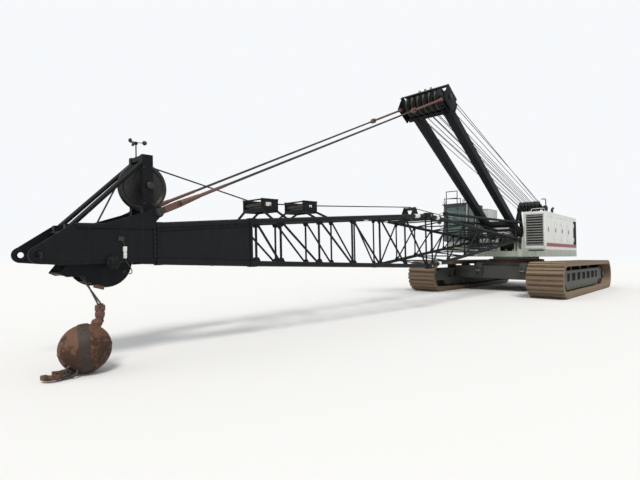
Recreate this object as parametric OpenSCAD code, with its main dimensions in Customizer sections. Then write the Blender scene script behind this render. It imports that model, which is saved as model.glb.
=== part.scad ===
// Crawler crane with a lattice boom laid almost level, a live mast and a hook ball resting on the
// ground. Millimetres. +X points along the boom to its tip, +Y to the operator's left, +Z up.
// Pieces are laid out about the slew centre on the ground, then moved so that the origin is
// below the middle of the whole crane.

/* [Tracks] */
// Length over the track
track_len = 8784; // [7600:2:9600]
// Height of the track over the grousers
track_h = 1280; // [1120:2:1440]
// Width of a track shoe
shoe_w = 1180; // [900:10:1300]
// Distance between the track centre lines
track_gauge = 4702; // [4500:2:5200]
// Number of shoes on one track
shoe_count = 60; // [48:2:64]
// Thickness of a shoe plate
shoe_t = 62; // [50:1:80]
// Height of the grouser bars
grouser_h = 36; // [20:1:50]
// Distance over the two grouser bars of a shoe
grouser_span = 236; // [180:2:250]
// Height of the link lugs inside the shoes
lug_h = 64; // [50:1:80]

/* [Crawler frames and carbody] */
// Width of a crawler side frame
side_frame_w = 620; // [540:10:700]
// Length of a crawler side frame between its end wheels
side_frame_len = 6300; // [5900:10:6500]
// Diameter of the bottom rollers
roller_d = 260; // [220:5:280]
// Number of bottom rollers on one side
roller_count = 12; // [9:1:13]
// Half length of the carbody box
carbody_half = 1280; // [1100:10:1400]
// Height of the carbody top
carbody_top = 1200; // [1150:5:1240]
// Height of the carbody underside
carbody_low = 470; // [400:10:560]
// Distance of the cross beams from the slew centre
beam_x = 1450; // [1300:10:1600]
// Outer diameter of the slew ring
slew_d = 2300; // [2000:20:2400]

/* [Upper] */
// Height of the deck underside
deck_low = 1450; // [1420:5:1500]
// Height of the deck sills
sill_h = 300; // [260:5:340]
// Half width of the deck
deck_half_w = 1650; // [1600:5:1750]
// Front end of the deck
deck_front = 1410; // [1350:5:1450]
// Rear end of the deck, behind the slew centre
deck_rear = 3700; // [3500:10:4000]
// Height of the engine house above the sills
house_h = 1550; // [1400:10:1650]
// Distance of the house inner walls from the centre line
valley_half_w = 800; // [795:1:830]
// Wall thickness of the houses and doors
wall_t = 40; // [30:1:50]

/* [Cab] */
// Front of the cab
cab_front = 2920; // [2800:10:3000]
// Length of the cab
cab_len = 1720; // [1600:10:1800]
// Width of the cab
cab_w = 1050; // [950:10:1150]
// Height of the cab floor underside
cab_low = 2100; // [2050:10:2200]
// Height of the cab
cab_h = 1620; // [1500:10:1700]
// Thickness of the cab walls
cab_wall = 50; // [40:1:60]

/* [Boom] */
// Boom foot pin ahead of the slew centre
foot_x = 2000; // [1900:10:2200]
// Height of the boom foot pin
foot_z = 2130; // [2050:10:2250]
// Angle of the boom below the level, in degrees
boom_drop = 1.7; // [1:0.1:1.9]
// Length of the base section
base_len = 7600; // [7000:50:8200]
// Length of the open lattice of the top section
lattice_len = 5900; // [5400:50:6400]
// Length of the plated part behind the head
plated_len = 1700; // [1500:50:1900]
// Length of the plated head up to the nose
head_len = 1640; // [1560:10:1700]
// Depth of the boom over the chord centres where the sections join
joint_depth = 1390; // [1200:10:1500]
// Half width of the boom over the chord centres where the sections join
joint_half_w = 880; // [860:5:900]
// Depth at the end of the open lattice
neck_depth = 750; // [650:10:850]
// Half width at the end of the open lattice
neck_half_w = 600; // [550:5:650]
// Depth of the head
head_depth = 540; // [480:10:600]
// Half width of the head over its side plates
head_half_w = 450; // [420:5:480]
// Diameter of the chord tubes
chord_d = 102; // [80:1:120]
// Diameter of the lacing tubes
lacing_d = 46; // [36:1:56]

/* [Mast and gantry] */
// Mast foot pin ahead of the slew centre
mast_x = 1100; // [1050:10:1150]
// Height of the mast foot pin
mast_z = 2300; // [2250:10:2350]
// Angle of the mast above the level, in degrees
mast_rise = 30.1; // [28:0.1:32]
// Length of the mast from its foot pin to its head shaft
mast_len = 8100; // [7600:50:8400]
// Distance of the mast legs from the centre line
mast_half_w = 530; // [520:1:535]
// Width of a mast leg
mast_leg_w = 250; // [220:5:256]
// Depth of a mast leg
mast_leg_h = 280; // [240:5:300]
// Gantry head behind the slew centre
gantry_x = -2500; // [-2700:10:-2400]
// Height of the gantry head shaft
gantry_z = 3800; // [3600:10:3900]
// Number of sheaves at the mast head and in the bail
hoist_sheaves = 6; // [4:1:6]

/* [Hook ball] */
// Diameter of the ball
ball_d = 620; // [500:10:660]
// Ball centre ahead of the point sheaves
ball_ahead = 410; // [380:5:440]
// Ball centre to the left of the boom centre line
ball_y = 700; // [650:10:760]

/* [Fits] */
// Gap between a pin or a roller and its seat
seat_gap = 0.3; // [0.2:0.1:0.5]
// Gap between moving pieces that pass each other
move_gap = 5; // [5:1:8]

/* [Hidden] */

// Colours
iron = "#2b2f36";
white = "#e4e3dc";
sill_green = "#a9b3a8";
rust = "#6b4a35";
dark = "#202325";
glass = "#3d5a58";
red = "#7e3a3c";

// Boom stations along its axis from the foot pin
neck_s = base_len + lattice_len;
head_s = neck_s + plated_len;
nose_r = 110;
nose_h = -head_depth / 2 + nose_r + 30;
nose_s = head_s + head_len - nose_r;
nose_x = foot_x + nose_s * cos(boom_drop) + nose_h * sin(boom_drop) + nose_r;

// The whole crane reaches from the rear of the tracks to the nose
mid_x = (nose_x - track_len / 2) / 2;

// Track section
track_r = track_h / 2;
wheel_r = track_r - grouser_h - shoe_t - lug_h;
// A shoe on a wheel has the outer corners of its grousers on the radius of the track
shoe_drop = track_r - sqrt(track_r * track_r - grouser_span * grouser_span / 4);
axle_x = track_len / 2 - track_r + shoe_drop;
track_y = track_gauge / 2;
track_out_y = track_y + shoe_w / 2;

// Upper
sill_top = deck_low + sill_h;
plate_top = deck_low + 180;
house_top = sill_top + house_h;
house_w = deck_half_w - valley_half_w;
house_len = deck_front + deck_rear;

// Boom foot and lugs
foot_eye_w = 120;
foot_eye_d = 240;
foot_pin_d = 120;
lug_t = 25;

// Mast foot
mast_pin_d = 110;
mast_eye_w = mast_leg_w + 30;

// Drums
drum_half = 450;
drum_shaft_d = 120;
// Columns: distance ahead of the slew centre, height of the shaft, flange radius, barrel radius
drum_front_at = [300, 2130, 400, 300];
drum_rear_at = [-560, 2130, 400, 300];
drum_hoist_at = [-1440, 2080, 350, 250];

// Sheaves
hoist_sheave_r = 330;
hoist_pitch = 200;
bail_sheave_r = 250;
point_r = 300;
point_pitch = 140;
point_s = head_s + 645;
point_h = -head_depth / 2 + 10;
deflector_r = 375;
deflector_s = head_s - 10;
deflector_h = 901;
head_shaft_d = 110;

// Pendant pin on the boom head
lug_s = head_s - 40;
lug_h_pin = 480;
pendant_y = head_half_w + 36;
mast_pendant_y = 720;

// Turns what is drawn along the boom's axis into its place
module on_boom() translate([foot_x, 0, foot_z]) rotate([0, boom_drop, 0]) children();

// Turns what is drawn along the mast's axis into its place
module on_mast() translate([mast_x, 0, mast_z]) rotate([0, -mast_rise, 0]) children();

// Moves the crane so that its middle is above the origin
module placed() translate([-mid_x, 0, 0]) children();

// Round bar from one point to another
module bar(p, q, d, sides = 24) {
    v = q - p;
    reach = norm(v);
    translate(p) rotate([0, acos(v.z / reach), atan2(v.y, v.x)]) cylinder(h = reach, d = d, $fn = sides);
}

// Block between two corners
module block(p, q) translate(p) cube(q - p);

// Round shaft along Y, centred on the centre line unless a middle is given
module shaft(x, z, d, half, mid = 0) translate([x, mid, z]) rotate([90, 0, 0]) cylinder(h = 2 * half, d = d, center = true, $fn = 48);

// Plate drawn in X and Z, of thickness t, centred on y
module plate(y, t) translate([0, y + t / 2, 0]) rotate([90, 0, 0]) linear_extrude(t) children();

// A piece and its mirror image across the centre line
module both() {
    children();
    mirror([0, 1, 0]) children();
}

// Grooved wheel about the Y axis at the origin
module sheave(r, w, bore) {
    rotate([90, 0, 0]) rotate_extrude($fn = 64) polygon([
        [bore / 2, -w * 0.6], [bore / 2 + 45, -w * 0.6], [bore / 2 + 45, -w * 0.22], [r - 70, -w * 0.22],
        [r - 40, -w * 0.5], [r, -w * 0.5], [r - 28, -w * 0.15], [r - 28, w * 0.15], [r, w * 0.5],
        [r - 40, w * 0.5], [r - 70, w * 0.22], [bore / 2 + 45, w * 0.22], [bore / 2 + 45, w * 0.6],
        [bore / 2, w * 0.6]]);
}

// Outline of a stadium of radius r about two wheel centres
module stadium(r) {
    for (sx = [-1, 1]) translate([sx * axle_x, 0]) circle(r = r, $fn = 96);
    square([2 * axle_x, 2 * r], center = true);
}

// Length around the shoe path, and the point and turn at a distance along it
path_r = wheel_r + lug_h;
path_len = 4 * axle_x + 2 * PI * path_r;
shoe_pitch = path_len / shoe_count;
// Path distance of the shoe that stands upright in front of the front wheel
path_start = 2 * axle_x + PI * path_r / 2;
function on_wheel(d) = d > 2 * axle_x && d < 2 * axle_x + PI * path_r || d > 4 * axle_x + PI * path_r;
function path_turn(d) = d < 2 * axle_x ? 90
    : d < 2 * axle_x + PI * path_r ? 90 - (d - 2 * axle_x) / path_r * 180 / PI
    : d < 4 * axle_x + PI * path_r ? -90
    : -90 - (d - 4 * axle_x - PI * path_r) / path_r * 180 / PI;
function path_hub(d) = d < 2 * axle_x ? d - axle_x
    : d < 2 * axle_x + PI * path_r ? axle_x
    : d < 4 * axle_x + PI * path_r ? axle_x - (d - 2 * axle_x - PI * path_r)
    : -axle_x;

// One shoe in outline: plate and two grouser bars
grouser_w = 84;
module shoe_outline() {
    translate([path_r - 15, -shoe_pitch / 2 + 9]) square([shoe_t + 15, shoe_pitch - 18]);
    for (y = [-grouser_span / 2, grouser_span / 2 - grouser_w])
        translate([path_r + shoe_t - 1, y]) square([grouser_h + 1, grouser_w]);
}

module track(side) color(rust)
    translate([0, side * track_y + shoe_w / 2, track_r]) rotate([90, 0, 0]) linear_extrude(shoe_w) difference() {
        union() {
            stadium(path_r);
            for (i = [0 : shoe_count - 1]) {
                d = (path_start + i * shoe_pitch) % path_len;
                translate([path_hub(d), 0]) rotate(path_turn(d))
                    translate([on_wheel(d) ? -shoe_drop : 0, 0]) shoe_outline();
            }
        }
        stadium(wheel_r + seat_gap);
    }

// Side frame: a box beam with pockets, roller plates below and bearing plates for the end wheels
frame_low = track_r - 210;
frame_high = track_r + 300;
roller_z = track_r - wheel_r + roller_d / 2;
roller_span = side_frame_len - 900;
roller_pin_d = 80;
top_roller_d = 170;
top_roller_z = track_r + wheel_r - top_roller_d / 2;
top_roller_at = [-1500, 0, 1500];
wheel_pin_d = 160;
plate_t = 60;
module crawler_frame(side) color(sill_green) translate([0, side * track_y, 0]) difference() {
    union() {
        difference() {
            block([-side_frame_len / 2, -side_frame_w / 2, frame_low], [side_frame_len / 2, side_frame_w / 2, frame_high]);
            for (sy = [-1, 1], i = [-3 : 3])
                translate([i * 850 - 290, sy * side_frame_w / 2 - 90, frame_low + 110]) cube([580, 180, 290]);
            for (sx = [-1, 1]) shaft(sx * axle_x, track_r, 2 * (wheel_r + 25), side_frame_w / 2 + 5);
        }
        for (sy = [-1, 1]) {
            y = sy * (side_frame_w / 2 - plate_t / 2);
            // roller plate
            plate(y, plate_t) polygon([[-roller_span / 2 - 200, frame_low + 1], [-roller_span / 2 - 90, roller_z - 60],
                [roller_span / 2 + 90, roller_z - 60], [roller_span / 2 + 200, frame_low + 1]]);
            // bearing plates of the end wheels
            for (sx = [-1, 1]) plate(y, plate_t) union() {
                translate([sx * axle_x, track_r]) circle(r = 210, $fn = 64);
                polygon([[sx * (side_frame_len / 2 - 500), track_r - 200], [sx * (side_frame_len / 2 - 500), track_r + 280],
                    [sx * axle_x, track_r + 205], [sx * axle_x, track_r - 205]]);
            }
        }
        for (x = top_roller_at, y = [-175, 175]) block([x - 70, y - 12, frame_high - 1], [x + 70, y + 12, top_roller_z + 50]);
    }
    for (sx = [-1, 1]) shaft(sx * axle_x, track_r, wheel_pin_d + 2 * seat_gap, side_frame_w);
    for (i = [0 : roller_count - 1])
        shaft(-roller_span / 2 + i * roller_span / (roller_count - 1), roller_z, roller_pin_d + 2 * seat_gap, side_frame_w);
    for (x = top_roller_at) shaft(x, top_roller_z, 60 + 2 * seat_gap, 250);
}

// Sprocket, idler and rollers
module running_gear(side) color(dark) translate([0, side * track_y, 0]) {
    inner = side_frame_w / 2 - plate_t - move_gap;
    for (sx = [-1, 1]) {
        shaft(sx * axle_x, track_r, 2 * wheel_r, inner);
        shaft(sx * axle_x, track_r, wheel_pin_d, side_frame_w / 2 + 20);
    }
    // caps of the final drive behind
    for (sy = [-1, 1]) shaft(-axle_x, track_r, 380, 20, sy * (side_frame_w / 2 + 20 + seat_gap));
    for (i = [0 : roller_count - 1]) {
        x = -roller_span / 2 + i * roller_span / (roller_count - 1);
        shaft(x, roller_z, roller_d, 200);
        shaft(x, roller_z, roller_pin_d, side_frame_w / 2);
    }
    for (x = top_roller_at) {
        shaft(x, top_roller_z, top_roller_d, 150);
        shaft(x, top_roller_z, 60, 190);
    }
}

module carbody() color(sill_green) difference() {
    union() {
        block([-carbody_half, -carbody_half, carbody_low], [carbody_half, carbody_half, carbody_top]);
        for (sx = [-1, 1]) {
            block([sx * beam_x - 380, -track_y + side_frame_w / 2, carbody_low + 60], [sx * beam_x + 380, track_y - side_frame_w / 2, carbody_top - 140]);
            for (sy = [-1, 1]) block([sx * 1760 - 150, sy * 900 - 130, 640], [sx * 1760 + 150, sy * 900 + 130, 1180]);
        }
    }
    translate([0, 0, carbody_low - 1]) cylinder(d = slew_d - 800, h = carbody_top, $fn = 64);
}

// Fixed outer ring of the slew bearing
module slew_ring() color(dark) translate([0, 0, carbody_top]) difference() {
    cylinder(d = slew_d, h = 130, $fn = 96);
    translate([0, 0, -1]) cylinder(d = slew_d - 400 + 2 * seat_gap, h = 132, $fn = 96);
}

module deck() color(sill_green) {
    // inner ring of the slew bearing
    translate([0, 0, carbody_top + 15]) difference() {
        cylinder(d = slew_d - 400, h = deck_low - carbody_top - 15, $fn = 96);
        translate([0, 0, -1]) cylinder(d = slew_d - 800, h = deck_low, $fn = 96);
    }
    difference() {
        union() {
            block([-deck_rear, -deck_half_w, deck_low + 140], [deck_front, deck_half_w, plate_top]);
            block([-slew_d / 2 - 100, -deck_half_w + 200, deck_low], [slew_d / 2 + 100, deck_half_w - 200, deck_low + 141]);
        }
        translate([0, 0, deck_low - 1]) cylinder(d = 700, h = 300, $fn = 64);
    }
    both() {
        // outer sill
        block([-deck_rear, deck_half_w - 90, deck_low], [deck_front, deck_half_w, sill_top]);
        // main girder
        block([-deck_rear, joint_half_w - 90, deck_low], [foot_x + 220, joint_half_w + 90, sill_top]);
        boom_foot_lugs();
        mast_foot_lugs();
    }
    block([deck_front - 80, -deck_half_w, deck_low], [deck_front, deck_half_w, sill_top - 60]);
    block([-deck_rear, -deck_half_w, deck_low], [-deck_rear + 80, deck_half_w, sill_top]);
    // cab platform
    block([cab_front - cab_len, -deck_half_w - 400, sill_top - 120], [cab_front, -joint_half_w - 90, sill_top]);
    for (x = [cab_front - cab_len + 120, cab_front - 240])
        block([x, -deck_half_w - 300, sill_top - 1], [x + 120, -joint_half_w - 140, cab_low]);
}

// Pair of lugs and the pin that carry one boom foot
module boom_foot_lugs() {
    inner = foot_eye_w / 2 + move_gap;
    for (y = [joint_half_w - inner - lug_t, joint_half_w + inner])
        translate([0, y + lug_t, 0]) rotate([90, 0, 0]) linear_extrude(lug_t) union() {
            translate([foot_x, foot_z]) circle(r = 130, $fn = 48);
            polygon([[foot_x - 320, sill_top - 1], [foot_x - 130, foot_z], [foot_x + 130, foot_z], [foot_x + 210, sill_top - 1]]);
        }
    shaft(foot_x, foot_z, foot_pin_d, inner + lug_t + 15, joint_half_w);
}

// Pair of lugs and the pin that carry one mast leg
module mast_foot_lugs() {
    inner = mast_eye_w / 2 + move_gap;
    for (y = [mast_half_w - inner - lug_t, mast_half_w + inner])
        translate([0, y + lug_t, 0]) rotate([90, 0, 0]) linear_extrude(lug_t) union() {
            translate([mast_x, mast_z]) circle(r = 120, $fn = 48);
            polygon([[mast_x - 190, plate_top - 1], [mast_x - 120, mast_z], [mast_x + 120, mast_z], [mast_x + 190, plate_top - 1]]);
        }
    shaft(mast_x, mast_z, mast_pin_d, inner + lug_t + 15, mast_half_w);
}

// Four doors share the side wall between the front post and the rear grille
door_count = 4;
door_gap = 8;
door_x0 = -deck_rear + 620;
door_x1 = deck_front - 160;
door_pitch = (door_x1 - door_x0) / door_count;
door_low = sill_top + 260;
door_high = house_top - 160;

module engine_house() color(white) {
    for (i = [0 : door_count - 1], z = hinge_z(door_low, door_high)) hinge_pin(door_x(i) - hinge_back, deck_half_w, 1, z);
    engine_house_shell();
}
module engine_house_shell() difference() {
    block([-deck_rear, valley_half_w, sill_top], [deck_front, deck_half_w, house_top]);
    // inside
    block([-deck_rear + wall_t, valley_half_w + wall_t, sill_top + wall_t], [deck_front - wall_t, deck_half_w - wall_t, house_top - wall_t]);
    // doorways
    for (i = [0 : door_count - 1])
        block([door_x(i), deck_half_w - wall_t - 1, door_low], [door_x(i + 1) - 40, deck_half_w + 1, door_high]);
    // louvre opening in front
    block([deck_front - wall_t - 1, valley_half_w + 90, sill_top + 160], [deck_front + 1, deck_half_w - 90, house_top - 120]);
    // rear grille slots
    for (i = [0 : 2])
        block([-deck_rear + 150 + i * 120, deck_half_w - wall_t - 1, door_low], [-deck_rear + 220 + i * 120, deck_half_w + 1, door_high]);
}

// Hinge of a door on an outer wall: the pin stands outside the wall, beside the doorway.
// side is 1 for a wall on the left and -1 on the right.
hinge_out = 22;
hinge_back = 14;
hinge_pin_d = 20;
hinge_h = 120;
hinge_lug_h = 30;
function hinge_z(low, high) = [low + (high - low) * 0.2, low + (high - low) * 0.8];
module hinge_pin(x, wall, side, z) {
    y = wall + side * hinge_out;
    reach = hinge_h / 2 + move_gap + hinge_lug_h;
    translate([x, y, z - reach]) cylinder(d = hinge_pin_d, h = 2 * reach, $fn = 32);
    for (z0 = [z - reach, z + reach - hinge_lug_h])
        block([x - 22, min(wall - side, y + side * 12), z0], [x + 10, max(wall - side, y + side * 12), z0 + hinge_lug_h]);
}
module hinge_leaf(x, wall, side, z) difference() {
    union() {
        translate([x, wall + side * hinge_out, z - hinge_h / 2]) cylinder(d = 36, h = hinge_h, $fn = 32);
        block([x, min(wall - side, wall + side * 12), z - hinge_h / 2], [x + 130, max(wall - side, wall + side * 12), z + hinge_h / 2]);
    }
    translate([x, wall + side * hinge_out, z - hinge_h]) cylinder(d = hinge_pin_d + 2 * seat_gap, h = 2 * hinge_h, $fn = 32);
    block([x - 30, min(wall - 20 * side, wall + side * 2), z - hinge_h], [x + hinge_back + door_gap - 1, max(wall - 20 * side, wall + side * 2), z + hinge_h]);
}

// One hinged door of the engine house, counted from the rear
function door_x(i) = door_x0 + i * door_pitch + 20;
module engine_door(i) color(white) {
    x0 = door_x(i - 1) + door_gap;
    x1 = door_x(i) - 40 - door_gap;
    block([x0, deck_half_w - wall_t, door_low + door_gap], [x1, deck_half_w, door_high - door_gap]);
    for (z = hinge_z(door_low, door_high)) hinge_leaf(x0 - door_gap - hinge_back, deck_half_w, 1, z);
    // handle
    block([x1 - 110, deck_half_w - 1, (door_low + door_high) / 2 - 60], [x1 - 80, deck_half_w + 22, (door_low + door_high) / 2 + 60]);
}

module louvre_panel() color(white) {
    y0 = valley_half_w + 90;
    y1 = deck_half_w - 90;
    z0 = sill_top + 160;
    z1 = house_top - 120;
    slats = 12;
    for (i = [0 : slats - 1]) {
        z = z0 + (i + 0.5) * (z1 - z0) / slats;
        translate([deck_front - 20, (y0 + y1) / 2, z]) rotate([0, 35, 0]) cube([90, y1 - y0, 12], center = true);
    }
    for (y = [y0, y1 - 30]) block([deck_front - wall_t, y, z0], [deck_front + 12, y + 30, z1]);
}

module engine() color(dark)
    block([-2400, valley_half_w + 120, sill_top + wall_t], [-200, deck_half_w - 130, house_top - 420]);

module roof_fittings() color(dark) {
    // exhaust pipe with a bent end
    translate([-1500, 1150, house_top]) {
        cylinder(d = 110, h = 330, $fn = 32);
        translate([0, 0, 330]) sphere(d = 110, $fn = 32);
        bar([0, 0, 330], [-170, 0, 400], 110);
    }
    // lifting eyes
    for (x = [-3200, 900]) difference() {
        translate([x, 1200, house_top + 45]) cube([110, 16, 90], center = true);
        shaft(x, house_top + 50, 46, 20, 1200);
    }
}

module machine_house() color(white) {
    block([-deck_rear, -deck_half_w, sill_top], [0, -valley_half_w, sill_top + 1250]);
    block([0, -deck_half_w, sill_top], [cab_front - cab_len - 60, -valley_half_w, sill_top + 1840]);
}

// Cab outline from the side, leaning back a little at the upper front
cab_rear = cab_front - cab_len;
cab_top = cab_low + cab_h;
cab_y0 = -valley_half_w - 200 - cab_w;
cab_y1 = -valley_half_w - 200;
module cab_outline(inset) {
    polygon([[cab_rear + inset, cab_low + inset], [cab_front - 60 - inset, cab_low + inset],
        [cab_front - inset, cab_low + 500], [cab_front - inset - 70, cab_top - inset], [cab_rear + inset, cab_top - inset]]);
}

cab_door_x0 = cab_rear + 620;
cab_door_x1 = cab_front - 320;
cab_door_z0 = cab_low + 90;
cab_door_z1 = cab_top - 130;
module cab_shell() color(white) {
    for (z = hinge_z(cab_door_z0, cab_door_z1)) hinge_pin(cab_door_x0 - hinge_back, cab_y0, -1, z);
    cab_body();
}
module cab_body() difference() {
    translate([0, cab_y1, 0]) rotate([90, 0, 0]) linear_extrude(cab_w) cab_outline(0);
    translate([0, cab_y1 - cab_wall, 0]) rotate([90, 0, 0]) linear_extrude(cab_w - 2 * cab_wall) cab_outline(cab_wall);
    cab_front_window(0);
    cab_side_windows(0);
    cab_rear_window(0);
    // doorway on the outer side
    block([cab_door_x0, cab_y0 - 1, cab_door_z0], [cab_door_x1, cab_y0 + cab_wall + 1, cab_door_z1]);
    // small fixed window behind the doorway
    block([cab_rear + 140, cab_y0 - 1, cab_low + 700], [cab_rear + 500, cab_y0 + cab_wall + 1, cab_top - 160]);
}

module cab_front_window(trim) block([cab_front - 260, cab_y0 + 90 + trim, cab_low + 260 + trim], [cab_front + 60, cab_y1 - 90 - trim, cab_top - 120 - trim]);
module cab_side_windows(trim) for (x = [[cab_rear + 120, cab_rear + 780], [cab_rear + 840, cab_front - 200]])
    block([x[0] + trim, cab_y1 - cab_wall - 1, cab_low + 640 + trim], [x[1] - trim, cab_y1 + 1, cab_top - 130 - trim]);
module cab_rear_window(trim) block([cab_rear - 1, cab_y0 + 160 + trim, cab_low + 800 + trim], [cab_rear + cab_wall + 1, cab_y1 - 160 - trim, cab_top - 180 - trim]);

module cab_glass() color(glass) {
    // front pane between two parallel faces of the outline
    intersection() {
        cab_front_window(seat_gap);
        translate([0, cab_y1, 0]) rotate([90, 0, 0]) linear_extrude(cab_w) difference() {
            translate([-20, 0]) cab_outline(0);
            translate([-30, 0]) cab_outline(0);
        }
        block([cab_front - 160, cab_y0, cab_low], [cab_front + 60, cab_y1, cab_top]);
    }
    intersection() {
        cab_side_windows(seat_gap);
        block([cab_rear, cab_y1 - 30, cab_low], [cab_front, cab_y1 - 20, cab_top]);
    }
    intersection() {
        cab_rear_window(seat_gap);
        block([cab_rear + 20, cab_y0, cab_low], [cab_rear + 30, cab_y1, cab_top]);
    }
    block([cab_rear + 140 + seat_gap, cab_y0 + 20, cab_low + 700 + seat_gap], [cab_rear + 500 - seat_gap, cab_y0 + 30, cab_top - 160 - seat_gap]);
}

module cab_door() color(white) {
    difference() {
        block([cab_door_x0 + door_gap, cab_y0, cab_door_z0 + door_gap], [cab_door_x1 - door_gap, cab_y0 + cab_wall, cab_door_z1 - door_gap]);
        block([cab_door_x0 + 90, cab_y0 - 1, cab_low + 620], [cab_door_x1 - 80, cab_y0 + cab_wall + 1, cab_door_z1 - 90]);
    }
    for (z = hinge_z(cab_door_z0, cab_door_z1)) hinge_leaf(cab_door_x0 - hinge_back, cab_y0, -1, z);
}

module cab_door_glass() color(glass)
    block([cab_door_x0 + 90 + seat_gap, cab_y0 + 20, cab_low + 620 + seat_gap], [cab_door_x1 - 80 - seat_gap, cab_y0 + 30, cab_door_z1 - 90 - seat_gap]);

module operator_seat() color(dark) {
    y = (cab_y0 + cab_y1) / 2;
    z = cab_low + cab_wall;
    block([cab_rear + 420, y - 180, z], [cab_rear + 780, y + 180, z + 380]);
    block([cab_rear + 380, y - 250, z + 379], [cab_rear + 880, y + 250, z + 500]);
    block([cab_rear + 330, y - 240, z + 420], [cab_rear + 450, y + 240, z + 1120]);
    for (sy = [-1, 1]) block([cab_rear + 420, y + sy * 350 - 70, z], [cab_front - 420, y + sy * 350 + 70, z + 560]);
}

module counterweight() color(dark) {
    slabs = 3;
    for (i = [0 : slabs - 1])
        block([-deck_rear - 600, -1500, deck_low + 20 + i * 500], [-deck_rear, 1500, deck_low + 20 + i * 500 + 500]);
}

// Gantry leg in side view
gantry_y = 600;
module gantry() color(iron) {
    both() {
        for (leg = [[-950, 0], [-3150, 0]])
            plate(gantry_y, 130) polygon([[leg[0] - 90, plate_top], [leg[0] + 90, plate_top],
                [gantry_x + 60, gantry_z], [gantry_x - 60, gantry_z]]);
        plate(gantry_y, 130) translate([gantry_x, gantry_z]) circle(r = 150, $fn = 48);
        block([-2960, gantry_y - 50, 2850], [-1800, gantry_y + 50, 2950]);
        // bumper for the boom stop
        block([-1900, gantry_y - 60, 2720], [-1600, 785, 2980]);
    }
    // head shaft and lower cross tube
    shaft(gantry_x, gantry_z, head_shaft_d, gantry_y + 80);
    shaft(-2800, 2600, 140, gantry_y);
}

module drum_stands() color(sill_green) for (at = [drum_front_at, drum_rear_at, drum_hoist_at]) both() {
    difference() {
        plate(drum_half + 30, 30) union() {
            translate([at[0], at[1]]) circle(r = 140, $fn = 48);
            polygon([[at[0] - 300, plate_top], [at[0] - 140, at[1]], [at[0] + 140, at[1]], [at[0] + 300, plate_top]]);
        }
        shaft(at[0], at[1], drum_shaft_d + 2 * seat_gap, 60, drum_half + 30);
    }
}

// Winch drum with its flanges and shaft
module drum(at) color(iron) translate([at[0], 0, at[1]]) rotate([90, 0, 0]) {
    cylinder(r = at[3], h = 2 * drum_half - 20, center = true, $fn = 64);
    for (sz = [-1, 1]) translate([0, 0, sz * (drum_half - 15)]) cylinder(r = at[2], h = 30, center = true, $fn = 64);
    cylinder(d = drum_shaft_d, h = 2 * drum_half + 100, center = true, $fn = 48);
}

module mast() color(iron) on_mast() {
    both() difference() {
        union() {
            block([100, mast_half_w - mast_leg_w / 2, -mast_leg_h / 2], [mast_len - 400, mast_half_w + mast_leg_w / 2, mast_leg_h / 2]);
            shaft(0, 0, 220, mast_eye_w / 2, mast_half_w);
            block([0, mast_half_w - mast_leg_w / 2, -90], [200, mast_half_w + mast_leg_w / 2, 90]);
        }
        shaft(0, 0, mast_pin_d + 2 * seat_gap, mast_eye_w, mast_half_w);
    }
    // cross members between the legs
    for (s = [900, 3300, 5600]) block([s, -mast_half_w, -100], [s + 200, mast_half_w, 100]);
    // head
    block([mast_len - 520, -820, -mast_leg_h / 2], [mast_len - 380, 820, mast_leg_h / 2]);
    both() block([mast_len - 400, 780, -280], [mast_len + 260, 820, 280]);
    both() block([mast_len - 400, 640, -200], [mast_len + 120, 670, 200]);
    shaft(mast_len, 0, head_shaft_d, 840);
}

module mast_sheaves() color(dark) on_mast()
    for (i = [0 : hoist_sheaves - 1])
        translate([mast_len, (i - (hoist_sheaves - 1) / 2) * hoist_pitch, 0])
            sheave(hoist_sheave_r, 90, head_shaft_d + 2 * seat_gap);

// Ends of a pendant in the side view, at the mast head and at the boom head
mast_pin = [mast_x + mast_len * cos(mast_rise), mast_z + mast_len * sin(mast_rise)];
lug_pin = [foot_x + lug_s * cos(boom_drop) + lug_h_pin * sin(boom_drop), foot_z - lug_s * sin(boom_drop) + lug_h_pin * cos(boom_drop)];
pendant_len = norm(lug_pin - mast_pin);
pendant_turn = atan2(mast_pin.y - lug_pin.y, lug_pin.x - mast_pin.x);

module pendants() color(rust) both()
    translate([mast_pin.x, 0, mast_pin.y]) rotate([0, pendant_turn, 0]) {
        difference() {
            union() {
                shaft(0, 0, 220, 20, mast_pendant_y);
                block([0, mast_pendant_y - 20, -60], [420, mast_pendant_y + 20, 60]);
            }
            shaft(0, 0, head_shaft_d + 2 * seat_gap, 60, mast_pendant_y);
        }
        bar([380, mast_pendant_y, 0], [pendant_len - 330, pendant_y, 0], 44);
        block([pendant_len - 380, pendant_y - 10, -50], [pendant_len, pendant_y + 10, 50]);
        shaft(pendant_len, 0, 130, 10, pendant_y);
        shaft(pendant_len, 0, 70, 19, pendant_y + 9);
    }

// Floating frame that carries the lower hoist sheaves, pinned on the gantry head shaft
bail_turn = atan2(mast_pin.y - gantry_z, mast_pin.x - gantry_x);
bail_reach = 420;
module on_bail() translate([gantry_x, 0, gantry_z]) rotate([0, -bail_turn, 0]) children();
module bail() color(iron) on_bail() {
    both() difference() {
        union() {
            shaft(0, 0, 200, 20, gantry_y - 65 - move_gap - 20);
            block([0, gantry_y - 65 - move_gap - 40, -60], [bail_reach, gantry_y - 65 - move_gap, 60]);
            shaft(bail_reach, 0, 190, 20, gantry_y - 65 - move_gap - 20);
        }
        shaft(0, 0, head_shaft_d + 2 * seat_gap, 60, gantry_y - 65 - move_gap - 20);
    }
    shaft(bail_reach, 0, 90, gantry_y - 65 - move_gap);
}

bail_pitch = 160;
module bail_sheaves() color(dark) on_bail()
    for (i = [0 : hoist_sheaves - 1])
        translate([bail_reach, (i - (hoist_sheaves - 1) / 2) * bail_pitch, 0]) sheave(bail_sheave_r, 80, 90 + 2 * seat_gap);

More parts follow.
